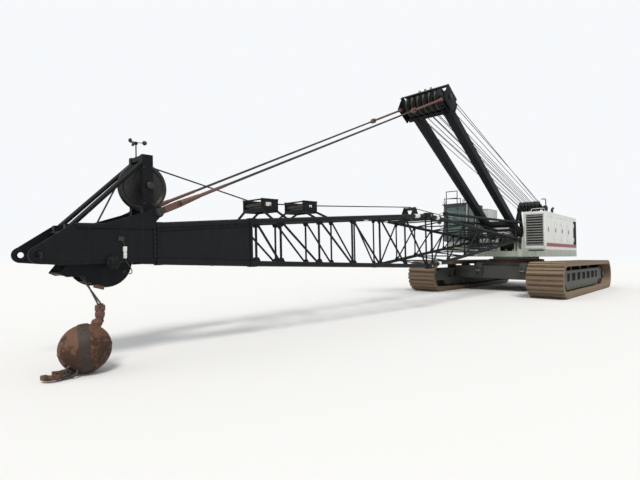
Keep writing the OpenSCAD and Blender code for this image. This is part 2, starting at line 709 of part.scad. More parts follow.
// Half depth and half width of the boom over its chord centres at a station
function boom_half_d(s) = s < base_len ? joint_depth / 2 * s / base_len
    : s < neck_s ? (joint_depth + (neck_depth - joint_depth) * (s - base_len) / lattice_len) / 2
    : (neck_depth + (head_depth - neck_depth) * (s - neck_s) / plated_len) / 2;
function boom_half_w(s) = s < base_len ? joint_half_w
    : s < neck_s ? joint_half_w + (neck_half_w - joint_half_w) * (s - base_len) / lattice_len
    : neck_half_w + (head_half_w - 30 - neck_half_w) * (s - neck_s) / plated_len;
// Corner of the boom at a station: side is 1 left or -1 right, top is 1 or -1
function corner(s, side, top) = [s, side * boom_half_w(s), top * boom_half_d(s)];

// Lacing of one bay between two stations, on the sides and across top and bottom
module bay(s0, s1, side_top_end) {
    for (side = [-1, 1]) {
        bar(corner(s1, side, side_top_end), corner(s0, side, -side_top_end), lacing_d, 8);
        bar(corner(s1, side, 1), corner(s1, side, -1), lacing_d, 8);
    }
    for (top = [-1, 1]) {
        bar(corner(s0, -1, top), corner(s1, 1, top), lacing_d * 0.85, 8);
        bar(corner(s1, -1, top), corner(s1, 1, top), lacing_d * 0.85, 8);
    }
}

base_stations = [1150, 1750, 2420, 3260, 4200, 5350, 6500, base_len - 160];
module boom_base() color(iron) on_boom() difference() {
    union() {
        for (side = [-1, 1]) {
            for (top = [-1, 1]) bar([60, side * joint_half_w, 0], corner(base_len - 12, side, top), chord_d, 12);
            shaft(0, 0, foot_eye_d, foot_eye_w / 2, side * joint_half_w);
            block([0, side * joint_half_w - foot_eye_w / 2, -60], [700, side * joint_half_w + foot_eye_w / 2, 60]);
            for (top = [-1, 1]) section_lug(base_len - 170, side, top);
        }
        for (i = [0 : len(base_stations) - 2]) bay(base_stations[i], base_stations[i + 1], -1);
        for (top = [-1, 1]) bar(corner(base_stations[0], -1, top), corner(base_stations[0], 1, top), lacing_d, 8);
        // brackets that carry the boom stops
        for (side = [-1, 1]) stop_bracket(side);
        low_guide();
    }
    for (side = [-1, 1]) shaft(0, 0, foot_pin_d + 2 * seat_gap, foot_eye_w, side * joint_half_w);
}

// Solid end of a chord where the two sections are pinned
module section_lug(s, side, top) {
    c = corner(base_len, side, top);
    translate([s, c.y - 60, c.z - 70]) cube([170, 120, 140]);
}

// Solid end of a chord at the boom head, inside the pendant lugs
module head_lug(side, top) {
    reach = head_half_w - 15;
    block([head_s - 120, min(side * reach, side * (reach - 78)), top * head_depth / 2 - 60],
        [head_s, max(side * reach, side * (reach - 78)), top * head_depth / 2 + 60]);
}

stop_s = base_len - 1270;
stop_h = 808;
stop_y = 735;
stop_d = 90;
stop_len = 6900;
stop_rise = 1;
stop_pin_d = 50;
module stop_bracket(side) {
    y = side * (stop_y + stop_d / 2 + move_gap + 10);
    foot_h = boom_half_d(stop_s);
    plate(y, 20) union() {
        translate([stop_s, stop_h]) circle(d = 110, $fn = 32);
        polygon([[stop_s - 160, foot_h - 30], [stop_s - 54, stop_h], [stop_s + 54, stop_h], [stop_s + 160, foot_h - 30]]);
    }
    shaft(stop_s, stop_h, stop_pin_d, stop_d / 2 + 15, side * (stop_y + 15));
    block([stop_s - 140, min(y, side * joint_half_w), foot_h - 50], [stop_s + 140, max(y, side * joint_half_w), foot_h - 10]);
}

module boom_stops() color(iron) on_boom() for (side = [-1, 1]) translate([stop_s, side * stop_y, stop_h])
    rotate([0, stop_rise - boom_drop, 0]) difference() {
        union() {
            bar([-stop_len, 0, 0], [-40, 0, 0], stop_d);
            shaft(0, 0, 110, stop_d / 2 - 2);
        }
        shaft(0, 0, stop_pin_d + 2 * seat_gap, stop_d);
    }

top_stations = [base_len + 160, base_len + 1150, base_len + 2200, base_len + 3200, base_len + 4230,
    base_len + 5240, neck_s - 90];
module boom_top() color(iron) on_boom() {
    for (side = [-1, 1], top = [-1, 1]) {
        bar(corner(base_len + 12, side, top), corner(neck_s - 20, side, top), chord_d, 12);
        bar(corner(neck_s + 20, side, top), corner(head_s - 12, side, top), chord_d, 12);
        translate(corner(neck_s, side, top) - [70, 58, 58]) cube([140, 116, 116]);
        section_lug(base_len, side, top);
        head_lug(side, top);
    }
    for (side = [-1, 1]) bar(corner(top_stations[0], side, 1), corner(top_stations[0], side, -1), lacing_d, 8);
    for (top = [-1, 1]) bar(corner(top_stations[0], -1, top), corner(top_stations[0], 1, top), lacing_d, 8);
    for (i = [0 : len(top_stations) - 2]) bay(top_stations[i], top_stations[i + 1], 1);
    for (g = guide_boxes) guide_box(g);
    // side panels behind the head
    turn = atan2(neck_half_w - head_half_w + 30, plated_len);
    for (side = [-1, 1]) mirror([0, side < 0 ? 1 : 0, 0])
        translate([neck_s, neck_half_w + 6, 0]) rotate([0, 0, -turn]) translate([0, 10, 0]) rotate([90, 0, 0])
            linear_extrude(20) polygon([[0, -neck_depth / 2], [plated_len - 6, -head_depth / 2], [plated_len - 6, head_depth / 2 - 30], [0, neck_depth / 2 - 30]]);
}

head_plate_t = 30;
nose_bore_d = 80;
module head_outline() {
    polygon([[head_s, -head_depth / 2], [nose_s - 260, -head_depth / 2], [nose_s, nose_h - nose_r],
        [nose_s + nose_r * 0.77, nose_h + nose_r * 0.64], [head_s + 1150, head_depth / 2], [head_s, head_depth / 2]]);
    translate([nose_s, nose_h]) circle(r = nose_r, $fn = 48);
}

module boom_head() color(iron) on_boom() {
    difference() {
        for (y = [-1, 1]) plate(y * (head_half_w - head_plate_t / 2), head_plate_t) head_outline();
        shaft(nose_s, nose_h, nose_bore_d, head_half_w + 10);
    }
    // cross plates inside the head
    block([head_s, -head_half_w + 10, -head_depth / 2], [head_s + 30, head_half_w - 10, head_depth / 2]);
    block([head_s, -head_half_w + 10, head_depth / 2 - 20], [head_s + 900, head_half_w - 10, head_depth / 2]);
    block([head_s + 1100, -head_half_w + 10, -head_depth / 2 + 20], [head_s + 1125, head_half_w - 10, strut_seat_h]);
    block([head_s + 1060, -head_half_w + 10, strut_seat_h - 20], [head_s + 1190, head_half_w - 10, strut_seat_h]);
    shaft(nose_s - 230, nose_h, 100, head_half_w - 10);
    // shaft, bosses and guard of the point sheaves
    shaft(point_s, point_h, head_shaft_d, head_half_w + 40);
    both() {
        shaft(point_s, point_h, 200, 20, head_half_w + 15);
        plate(255, 20) difference() {
            translate([point_s, point_h]) circle(r = 340, $fn = 64);
            translate([point_s - 400, point_h + 200]) square([800, 200]);
        }
        for (ds = [-250, 250]) block([point_s + ds - 40, 260, -head_depth / 2 + 10], [point_s + ds + 40, head_half_w - 20, -head_depth / 2 + 40]);
        // lug of the pendant
        plate(head_half_w + 6, 30) difference() {
            union() {
                translate([lug_s, lug_h_pin]) circle(r = 85, $fn = 32);
                polygon([[lug_s - 85, lug_h_pin], [lug_s, lug_h_pin + 85], [lug_s + 180, lug_h_pin],
                    [head_s + 820, head_depth / 2 - 10], [head_s + 1, head_depth / 2 - 10],
                    [head_s + 1, (head_depth + chord_d) / 2 + 12]]);
            }
            translate([lug_s, lug_h_pin]) circle(d = 70, $fn = 32);
        }
    }
}

strut_seat_h = head_depth / 2 - 80;
module head_strut() color(iron) on_boom() {
    both() {
        block([head_s - 70, 160, head_depth / 2], [head_s + 100, 240, 1383]);
        bar([head_s + 30, 200, 1320], [head_s + 1110, 250, strut_seat_h + 60], 70);
        block([head_s + 1070, 205, strut_seat_h], [head_s + 1180, 295, strut_seat_h + 90]);
    }
    block([head_s - 60, -160, 1300], [head_s + 90, 160, 1375]);
    shaft(deflector_s, deflector_h, 80, 260);
    // wind gauge on a rod
    bar([head_s, -200, 1380], [head_s, -200, 1620], 20);
    translate([head_s, -200, 1640]) sphere(d = 60, $fn = 24);
}

module deflector_sheave() color(dark) on_boom() translate([deflector_s, 0, deflector_h]) sheave(deflector_r, 100, 80 + 2 * seat_gap);

module point_sheaves() color(dark) on_boom() for (i = [-1 : 1])
    translate([point_s, i * point_pitch, point_h]) sheave(point_r, 90, head_shaft_d + 2 * seat_gap);

// Rope guide boxes on the top section. Columns: station and height of the middle of a box
guide_boxes = [[head_s - 2400, 730], [head_s - 3530, 757]];
guide_half_w = 275;
guide_roller_d = 90;
guide_pin_d = 40;
guide_rollers_at = [-140, 0, 140];
module guide_box(g) difference() {
    union() {
        for (side = [-1, 1]) {
            block([g[0] - 210, side * guide_half_w - 10, g[1] - 130], [g[0] + 210, side * guide_half_w + 10, g[1] + 130]);
            for (s = [g[0] - 180, g[0] + 180])
                bar([s, side * guide_half_w, g[1] - 100], [s, side * boom_half_w(s), boom_half_d(s)], 50, 8);
        }
        for (ds = [-200, 200]) block([g[0] + ds - 10, -guide_half_w, g[1] - 130], [g[0] + ds + 10, guide_half_w, g[1] - 60]);
    }
    for (ds = guide_rollers_at) shaft(g[0] + ds, g[1], guide_pin_d + 2 * seat_gap, guide_half_w + 20);
}

// Low guide above the end of the base section
hump_s = base_len - 500;
hump_h = 960;
module low_guide() difference() {
    union() {
        for (side = [-1, 1]) plate(side * 160, 16)
            polygon([[hump_s - 300, boom_half_d(hump_s) - 10], [hump_s + 300, boom_half_d(hump_s) - 10], [hump_s + 70, hump_h + 50], [hump_s - 70, hump_h + 50]]);
        for (ds = [-200, 200]) bar(corner(hump_s + ds, -1, 1), corner(hump_s + ds, 1, 1), 60, 8);
    }
    shaft(hump_s, hump_h, guide_pin_d + 2 * seat_gap, 200);
}

module guide_rollers() color(dark) on_boom() {
    for (g = guide_boxes, ds = guide_rollers_at) {
        shaft(g[0] + ds, g[1], guide_roller_d, guide_half_w - 15);
        shaft(g[0] + ds, g[1], guide_pin_d, guide_half_w + 10);
    }
    shaft(hump_s, hump_h, guide_roller_d, 145);
    shaft(hump_s, hump_h, guide_pin_d, 168);
}

// Point-sheave axis and ball in the crane's own place
point_x = foot_x + point_s * cos(boom_drop) + point_h * sin(boom_drop);
point_z = foot_z - point_s * sin(boom_drop) + point_h * cos(boom_drop);
ball_lean = [0.56, 0.23, -0.79];
ball_x = point_x + ball_ahead;
ball_mid = [ball_x, ball_y, ball_d / 2];
socket_d = 90;
socket_x = ball_x - 200;
socket_y = ball_y - 85;
socket_low = ball_d + 20;
socket_top = socket_low + 190;
rope_d = 22;

module hook_ball() color(rust) {
    translate(ball_mid) sphere(d = ball_d, $fn = 64);
    // swivel and rope socket above the ball
    bar(ball_mid, [socket_x, socket_y, socket_low + 10], 110);
    translate([socket_x, socket_y, socket_low - 30]) cylinder(d = socket_d, h = socket_top - socket_low + 30, $fn = 32);
    // hook lying on the ground
    neck = ball_mid + (ball_d / 2 - 20) * ball_lean;
    bar(ball_mid, neck, 150);
    translate([neck.x + 40, neck.y, 30]) {
        bar([-100, 0, 20], [80, 0, 20], 60);
        translate([180, 20, 0]) difference() {
            cylinder(d = 260, h = 50, $fn = 48);
            translate([0, 0, -1]) cylinder(d = 130, h = 52, $fn = 48);
            translate([-20, -200, -1]) cube([300, 180, 52]);
        }
    }
}

// Two falls of rope from the point sheaves down to the socket, just clear of the sheaves' rims
fall_at = [0.935 * point_r, -0.55 * point_r];
module hook_rope() color(dark) for (fall = [[point_pitch, 20], [0, -20]]) {
    top = [point_x + fall_at[0], fall[0], point_z + fall_at[1]];
    foot = [socket_x + fall[1], socket_y, socket_top + rope_d / 2 + seat_gap];
    lean = norm([foot.x - top.x, foot.y - top.y]) / norm(foot - top);
    bar(top, foot - [0, 0, (1 - lean) * rope_d / 2], rope_d);
}

placed() carbody();
placed() slew_ring();
placed() crawler_frame(1);  // crawler_frame_left
placed() crawler_frame(-1);  // crawler_frame_right
placed() track(1);  // track_left
placed() track(-1);  // track_right
placed() running_gear(1);  // running_gear_left
placed() running_gear(-1);  // running_gear_right
placed() deck();
placed() engine_house();
placed() louvre_panel();
placed() engine();
placed() roof_fittings();
placed() machine_house();
placed() cab_shell();
placed() cab_glass();
placed() operator_seat();
placed() counterweight();
placed() gantry();
placed() drum_stands();
placed() engine_door(1);  // engine_door_1
placed() engine_door(2);  // engine_door_2
placed() engine_door(3);  // engine_door_3
placed() engine_door(4);  // engine_door_4
placed() cab_door();
placed() cab_door_glass();
placed() drum(drum_front_at);  // drum_front
placed() drum(drum_rear_at);  // drum_rear
placed() drum(drum_hoist_at);  // drum_boom_hoist
placed() mast();
placed() mast_sheaves();
placed() pendants();
placed() bail();
placed() bail_sheaves();
placed() boom_base();
placed() boom_top();
placed() boom_head();
placed() head_strut();
placed() deflector_sheave();
placed() point_sheaves();
placed() guide_rollers();
placed() boom_stops();
placed() hook_ball();
placed() hook_rope();
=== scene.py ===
import math

import bmesh
import bpy
from bpy.props import FloatProperty, FloatVectorProperty, PointerProperty
from mathutils import Euler, Matrix, Vector


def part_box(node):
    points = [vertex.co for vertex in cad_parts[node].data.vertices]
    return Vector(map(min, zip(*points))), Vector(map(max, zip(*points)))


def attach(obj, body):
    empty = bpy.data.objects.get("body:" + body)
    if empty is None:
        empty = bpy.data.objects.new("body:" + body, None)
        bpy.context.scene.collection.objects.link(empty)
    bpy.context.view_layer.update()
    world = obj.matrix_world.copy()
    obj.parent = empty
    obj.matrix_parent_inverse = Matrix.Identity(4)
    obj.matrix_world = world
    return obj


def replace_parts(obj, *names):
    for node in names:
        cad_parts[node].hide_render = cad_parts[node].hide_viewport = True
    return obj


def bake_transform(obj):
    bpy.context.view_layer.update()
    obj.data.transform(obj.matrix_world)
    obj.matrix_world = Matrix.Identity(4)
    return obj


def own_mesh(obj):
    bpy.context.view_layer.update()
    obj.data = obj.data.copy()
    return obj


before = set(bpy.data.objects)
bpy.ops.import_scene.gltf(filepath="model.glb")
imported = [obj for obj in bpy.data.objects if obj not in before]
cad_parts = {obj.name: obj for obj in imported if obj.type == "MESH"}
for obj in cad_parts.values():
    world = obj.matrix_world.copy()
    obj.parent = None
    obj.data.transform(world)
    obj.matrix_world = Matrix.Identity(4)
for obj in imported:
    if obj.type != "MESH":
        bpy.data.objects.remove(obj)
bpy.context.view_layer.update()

bl_info = {
    "name": "Crawler crane dresser",
    "version": (1, 0, 0),
    "blender": (4, 5, 0),
    "location": "3D View > Sidebar > Crane",
    "description": "Finishes the crawler crane: paint, rust, ropes, bolts, cab fittings and boom details",
    "category": "Object",
}

# Main sizes, in metres: the pins as (ahead of the slew centre, above the ground)

SLEW_X = sum(c.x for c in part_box("slew_ring")) / 2
BOOM_FOOT = (2.0, 2.13)
BOOM_DROP = math.radians(1.7)
BASE_LEN = 7.6
NECK_S = 13.5
HEAD_S = 15.2
MAST_FOOT = (1.1, 2.3)
MAST_RISE = math.radians(30.1)
MAST_LEN = 8.1
MAST_HEAD = (MAST_FOOT[0] + MAST_LEN * math.cos(MAST_RISE), MAST_FOOT[1] + MAST_LEN * math.sin(MAST_RISE))
GANTRY = (-2.5, 3.8)
BAIL_REACH = 0.42
BAIL_TURN = math.atan2(MAST_HEAD[1] - GANTRY[1], MAST_HEAD[0] - GANTRY[0])
BAIL_DEG = math.degrees(BAIL_TURN)

AHEAD, LEFT, UP = Vector((1, 0, 0)), Vector((0, 1, 0)), Vector((0, 0, 1))
BOTH = (-1, 1)
CORNERS = ((-1, -1), (-1, 1), (1, -1), (1, 1))


# Places on the crane


def at(x, y, z):
    """A point given ahead of the slew centre, left of the centre line and above the ground."""
    return Vector((x + SLEW_X, y, z))


def on_boom(s, y, h):
    """A point given along the boom from its foot pin, to the left and square above its axis."""
    c, n = math.cos(BOOM_DROP), math.sin(BOOM_DROP)
    return at(BOOM_FOOT[0] + s * c + h * n, y, BOOM_FOOT[1] - s * n + h * c)


def on_mast(s, y, h):
    """A point given along the mast from its foot pin, to the left and square above its axis."""
    c, n = math.cos(MAST_RISE), math.sin(MAST_RISE)
    return at(MAST_FOOT[0] + s * c - h * n, y, MAST_FOOT[1] + s * n + h * c)


def on_bail(s, y, h):
    """A point given along the bail from the gantry head towards the mast head."""
    c, n = math.cos(BAIL_TURN), math.sin(BAIL_TURN)
    return at(GANTRY[0] + s * c - h * n, y, GANTRY[1] + s * n + h * c)


def taper(s, base, neck, head):
    """A half size of the boom past its base section, from its values there, at the neck and at the head."""
    if s < NECK_S:
        return base + (neck - base) * (s - BASE_LEN) / (NECK_S - BASE_LEN)
    return neck + (head - neck) * (s - NECK_S) / (HEAD_S - NECK_S)


def half_depth(s):
    """Half depth of the boom over its chord centres."""
    return 0.695 * s / BASE_LEN if s < BASE_LEN else taper(s, 0.695, 0.375, 0.27)


def half_width(s):
    """Half width of the boom over its chord centres."""
    return 0.88 if s < BASE_LEN else taper(s, 0.88, 0.6, 0.42)


def sideways(side):
    """Direction to the left for 1 and to the right for -1."""
    return Vector((0, side, 0))


def pitch(angle):
    """A turn about the axis across the crane."""
    return Euler((0, angle, 0)).to_matrix()


def rectangle(u0, v0, u1, v1):
    """Outline of a rectangle."""
    return [(u0, v0), (u1, v0), (u1, v1), (u0, v1)]


def side_view(place, y=0.0):
    """Puts an outline upright along the crane or one of its arms, at a distance to the left."""
    return lambda u, v, t: place(u, y + t, v)


def circle(count):
    """Cosine and sine of angles spaced evenly round a full turn."""
    return [(math.cos(a), math.sin(a)) for a in (2 * math.pi * k / count for k in range(count))]


def arc(radius, start, end, steps):
    """Points on an arc about the origin, with its angles in degrees."""
    return [(radius * math.cos(a), radius * math.sin(a))
            for a in (math.radians(start + (end - start) * k / steps) for k in range(steps + 1))]


def wrap(place, centre, y, points):
    """Puts side view points round a centre."""
    return [place(centre[0] + u, y, centre[1] + v) for u, v in points]


def bolt_circle(place, centre, y, radius, count, way):
    """Places and direction of bolts spaced evenly round a centre in the side view."""
    return [(p, way) for p in wrap(place, centre, y, [(radius * c, radius * s) for c, s in circle(count)])]


def smooth_path(points, steps):
    """A smooth line through points, with as many steps between each two."""
    line = []
    ends = [points[0] * 2 - points[1]] + list(points) + [points[-1] * 2 - points[-2]]
    for a, b, c, d in zip(ends, ends[1:], ends[2:], ends[3:]):
        for k in range(steps):
            t = k / steps
            line.append(0.5 * (2 * b + (c - a) * t + (2 * a - 5 * b + 4 * c - d) * t * t
                               + (3 * b - a - 3 * c + d) * t ** 3))
    return line + [points[-1]]


def bend(steps, *points):
    """A smooth line through points given ahead, to the left and up."""
    return smooth_path([at(*p) for p in points], steps)


def straight(a, b, steps):
    """Evenly spaced points from one to another."""
    return [a.lerp(b, k / steps) for k in range(steps + 1)]


def path_length(points):
    """Length of a line through points."""
    return sum((b - a).length for a, b in zip(points, points[1:]))


# Meshes


class Shape:
    """Collects the faces of one piece and turns them into an object at the origin."""

    def __init__(self):
        self.bm = bmesh.new()

    def ring(self, points):
        """New vertices at points."""
        return [self.bm.verts.new(p) for p in points]

    def skin(self, a, b):
        """Faces between two rings of as many vertices."""
        count = len(a)
        return [self.bm.faces.new((a[k], a[(k + 1) % count], b[(k + 1) % count], b[k])) for k in range(count)]

    def block(self, centre, size, turn=None, bevel=0.0):
        """A block of a size about its centre, with its edges rounded."""
        place = Matrix.Translation(centre) @ (turn.to_4x4() if turn else Matrix.Identity(4))
        verts = bmesh.ops.create_cube(self.bm, size=1.0)["verts"]
        bmesh.ops.scale(self.bm, vec=size, verts=verts)
        if bevel:
            edges = list({e for v in verts for e in v.link_edges})
            cut = bmesh.ops.bevel(self.bm, geom=edges, offset=bevel, segments=2, profile=0.6, affect="EDGES")
            verts = list({v for f in cut["faces"] for v in f.verts} | {v for v in verts if v.is_valid})
        bmesh.ops.transform(self.bm, matrix=place, verts=self.grow(verts))

    def grow(self, verts):
        """All vertices joined to the given ones."""
        seen, todo = set(verts), list(verts)
        while todo:
            v = todo.pop()
            for e in v.link_edges:
                w = e.other_vert(v)
                if w not in seen:
                    seen.add(w)
                    todo.append(w)
        return list(seen)

    def rod(self, start, end, radius, sides=12, end_radius=None):
        """A round bar between two points, closed at its ends."""
        v = end - start
        place = Matrix.Translation((start + end) / 2) @ v.to_track_quat("Z", "Y").to_matrix().to_4x4()
        bmesh.ops.create_cone(
            self.bm, cap_ends=True, segments=sides, radius1=radius,
            radius2=radius if end_radius is None else end_radius, depth=v.length, matrix=place)

    def tube(self, points, radius, sides=8, closed=False):
        """A round tube that follows points."""
        rings = []
        count = len(points)
        side = None
        for i, p in enumerate(points):
            before = points[i - 1] if i or closed else p
            after = points[(i + 1) % count] if i < count - 1 or closed else p
            along = (after - before).normalized()
            if side is None:
                side = along.orthogonal().normalized()
            side = (side - along * side.dot(along)).normalized()
            up = along.cross(side)
            rings.append(self.ring(p + radius * (c * side + s * up) for c, s in circle(sides)))
        for i in range(count if closed else count - 1):
            self.skin(rings[i], rings[(i + 1) % count])
        if not closed:
            self.bm.faces.new(list(reversed(rings[0])))
            self.bm.faces.new(rings[-1])

    def slab(self, outline, place, thickness):
        """A flat plate: outline points in two axes, put in place by a function of both and the depth."""
        low, high = (self.ring(place(u, v, t) for u, v in outline) for t in (-thickness / 2, thickness / 2))
        made = [self.bm.faces.new(low), self.bm.faces.new(high)] + self.skin(low, high)
        bmesh.ops.recalc_face_normals(self.bm, faces=made)

    def wheel(self, centre, profile, sides=40, axis=(0, 1, 0)):
        """A turned shape: profile of (distance along the axis, radius), closed at both ends."""
        turn = Vector(axis).to_track_quat("Z", "Y")
        rings = [self.ring(centre + turn @ Vector((radius * c, radius * s, along)) for c, s in circle(sides))
                 for along, radius in profile]
        made = [face for a, b in zip(rings, rings[1:]) for face in self.skin(a, b)]
        made += [self.bm.faces.new(list(reversed(rings[0]))), self.bm.faces.new(rings[-1])]
        bmesh.ops.recalc_face_normals(self.bm, faces=made)

    def hoop(self, centre, axis, ring, thick, sides=24, around=8):
        """A closed ring of round section."""
        turn = Vector(axis).to_track_quat("Z", "Y")
        points = [centre + turn @ Vector((ring * c, ring * s, 0)) for c, s in circle(sides)]
        self.tube(points, thick, around, closed=True)

    def make(self, name, body, finish, smooth=35.0):
        """Ends the mesh, gives it its finish and lets it ride on a body."""
        for e in self.bm.edges:
            if len(e.link_faces) == 2:
                e.smooth = e.calc_face_angle(0) < math.radians(smooth)
        for f in self.bm.faces:
            f.smooth = True
        mesh = bpy.data.meshes.new(name)
        self.bm.to_mesh(mesh)
        self.bm.free()
        mesh.materials.append(FINISHES[finish])
        return add_object(name, mesh, body)


def add_object(name, data, body=None):
    """Puts an object in the scene, and on a body if one is named."""
    obj = bpy.data.objects.new(name, data)
    bpy.context.scene.collection.objects.link(obj)
    if body:
        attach(obj, body)
    return obj


SIZES = ("Width", "Depth", "Height")


def repeat_tree(name, kind):
    """Geometry Nodes that put a small shape on every point of a mesh, turned by its turn attribute."""
    tree = bpy.data.node_groups.new(name, "GeometryNodeTree")
    face, nodes, link = tree.interface, tree.nodes, tree.links.new
    face.new_socket("Points", in_out="INPUT", socket_type="NodeSocketGeometry")
    for label in SIZES:
        socket = face.new_socket(label, in_out="INPUT", socket_type="NodeSocketFloat")
        socket.default_value = 0.02
        socket.subtype = "DISTANCE"
    face.new_socket("Finish", in_out="INPUT", socket_type="NodeSocketMaterial")
    face.new_socket("Mesh", in_out="OUTPUT", socket_type="NodeSocketGeometry")
    start, end, put, turn, rotation, real, paint = (nodes.new(kind_name) for kind_name in (
        "NodeGroupInput", "NodeGroupOutput", "GeometryNodeInstanceOnPoints", "GeometryNodeInputNamedAttribute",
        "FunctionNodeEulerToRotation", "GeometryNodeRealizeInstances", "GeometryNodeSetMaterial"))
    turn.data_type = "FLOAT_VECTOR"
    turn.inputs["Name"].default_value = "turn"
    if kind == "block":
        shape = nodes.new("GeometryNodeMeshCube")
        size = nodes.new("ShaderNodeCombineXYZ")
        for socket, label in zip(size.inputs, SIZES):
            link(start.outputs[label], socket)
        link(size.outputs[0], shape.inputs["Size"])
    elif kind == "ring":
        shape = nodes.new("GeometryNodeCurveToMesh")
        for label, sides, socket in (("Width", 56, "Curve"), ("Depth", 6, "Profile Curve")):
            curve = nodes.new("GeometryNodeCurvePrimitiveCircle")
            curve.inputs["Resolution"].default_value = sides
            link(start.outputs[label], curve.inputs["Radius"])
            link(curve.outputs["Curve"], shape.inputs[socket])
    else:
        shape = nodes.new("GeometryNodeMeshCylinder")
        shape.inputs["Vertices"].default_value = 6 if kind == "hex" else 14
        link(start.outputs["Width"], shape.inputs["Radius"])
        link(start.outputs["Height"], shape.inputs["Depth"])
    link(start.outputs["Points"], put.inputs["Points"])
    link(shape.outputs["Mesh"], put.inputs["Instance"])
    link(turn.outputs["Attribute"], rotation.inputs["Euler"])
    link(rotation.outputs[0], put.inputs["Rotation"])
    link(put.outputs["Instances"], real.inputs["Geometry"])
    link(real.outputs["Geometry"], paint.inputs["Geometry"])
    link(start.outputs["Finish"], paint.inputs["Material"])
    link(paint.outputs["Geometry"], end.inputs["Mesh"])
    return tree


def repeat(name, body, kind, sizes, places, finish):
    """Puts a bolt, block or ring on each of the places (point, direction or turn) as one plain mesh."""
    tree = bpy.data.node_groups.get("repeat_" + kind) or repeat_tree("repeat_" + kind, kind)
    mesh = bpy.data.meshes.new(name + "_points")
    mesh.from_pydata([tuple(p) for p, _ in places], [], [])
    layer = mesh.attributes.new("turn", "FLOAT_VECTOR", "POINT")
    for i, (_, turn) in enumerate(places):
        if isinstance(turn, Vector):
            turn = turn.to_track_quat("Z", "Y").to_euler()
        layer.data[i].vector = tuple(turn)
    seed = add_object(name + "_points", mesh)
    modifier = seed.modifiers.new("repeat", "NODES")
    modifier.node_group = tree
    keys = {i.name: i.identifier for i in tree.interface.items_tree if i.in_out == "INPUT"}
    for label, value in zip(SIZES, sizes):
        modifier[keys[label]] = value
    modifier[keys["Finish"]] = FINISHES[finish]
    bpy.context.view_layer.update()
    done = bpy.data.meshes.new_from_object(seed.evaluated_get(bpy.context.evaluated_depsgraph_get()))
    bpy.data.objects.remove(seed)
    done.name = name
    for p in done.polygons:
        p.use_smooth = kind == "ring"
    add_object(name, done, body)


# Finishes


FINISHES = {}
COLOUR, NUMBER = "NodeSocketColor", "NodeSocketFloat"
RUST = (0.16, 0.065, 0.03)
DUST = (0.33, 0.29, 0.23)


def new_group(name, inputs, outputs):
    """A shader node group with named inputs and outputs."""
    group = bpy.data.node_groups.new(name, "ShaderNodeTree")
    for label, kind, value in inputs:
        group.interface.new_socket(label, in_out="INPUT", socket_type=kind).default_value = value
    for label, kind in outputs:
        group.interface.new_socket(label, in_out="OUTPUT", socket_type=kind)
    return group, group.nodes.new("NodeGroupInput").outputs, group.nodes.new("NodeGroupOutput").inputs


def feed(group, socket, value):
    """Gives a socket a link or a plain value."""
    if isinstance(value, (int, float, tuple)):
        socket.default_value = value
    else:
        group.links.new(value, socket)


def math_node(group, operation, a, b=None, clamp=False):
    """A Math node fed by sockets or plain numbers."""
    node = group.nodes.new("ShaderNodeMath")
    node.operation = operation
    node.use_clamp = clamp
    feed(group, node.inputs[0], a)
    if b is not None:
        feed(group, node.inputs[1], b)
    return node.outputs[0]


def mix_node(group, factor, a, b, kind="MIX"):
    """A colour mix fed by sockets or plain values."""
    node = group.nodes.new("ShaderNodeMix")
    node.data_type = "RGBA"
    node.blend_type = kind
    for i, value in ((0, factor), (6, a), (7, b)):
        feed(group, node.inputs[i], value)
    return node.outputs[2]


def noise_node(group, coords, scale, detail=4.0, rough=0.6, stretch=None):
    """A noise read at object coordinates, stretched along an axis if asked."""
    if stretch:
        mapping = group.nodes.new("ShaderNodeMapping")
        mapping.inputs["Scale"].default_value = stretch
        group.links.new(coords, mapping.inputs["Vector"])
        coords = mapping.outputs[0]
    node = group.nodes.new("ShaderNodeTexNoise")
    for label, value in (("Vector", coords), ("Scale", scale), ("Detail", detail), ("Roughness", rough)):
        feed(group, node.inputs[label], value)
    return node.outputs["Fac"]


def ramp_node(group, value, low, high):
    """A smooth step of a value between two limits."""
    node = group.nodes.new("ShaderNodeMapRange")
    node.interpolation_type = "SMOOTHSTEP"
    for label, x in (("Value", value), ("From Min", low), ("From Max", high)):
        feed(group, node.inputs[label], x)
    return node.outputs["Result"]


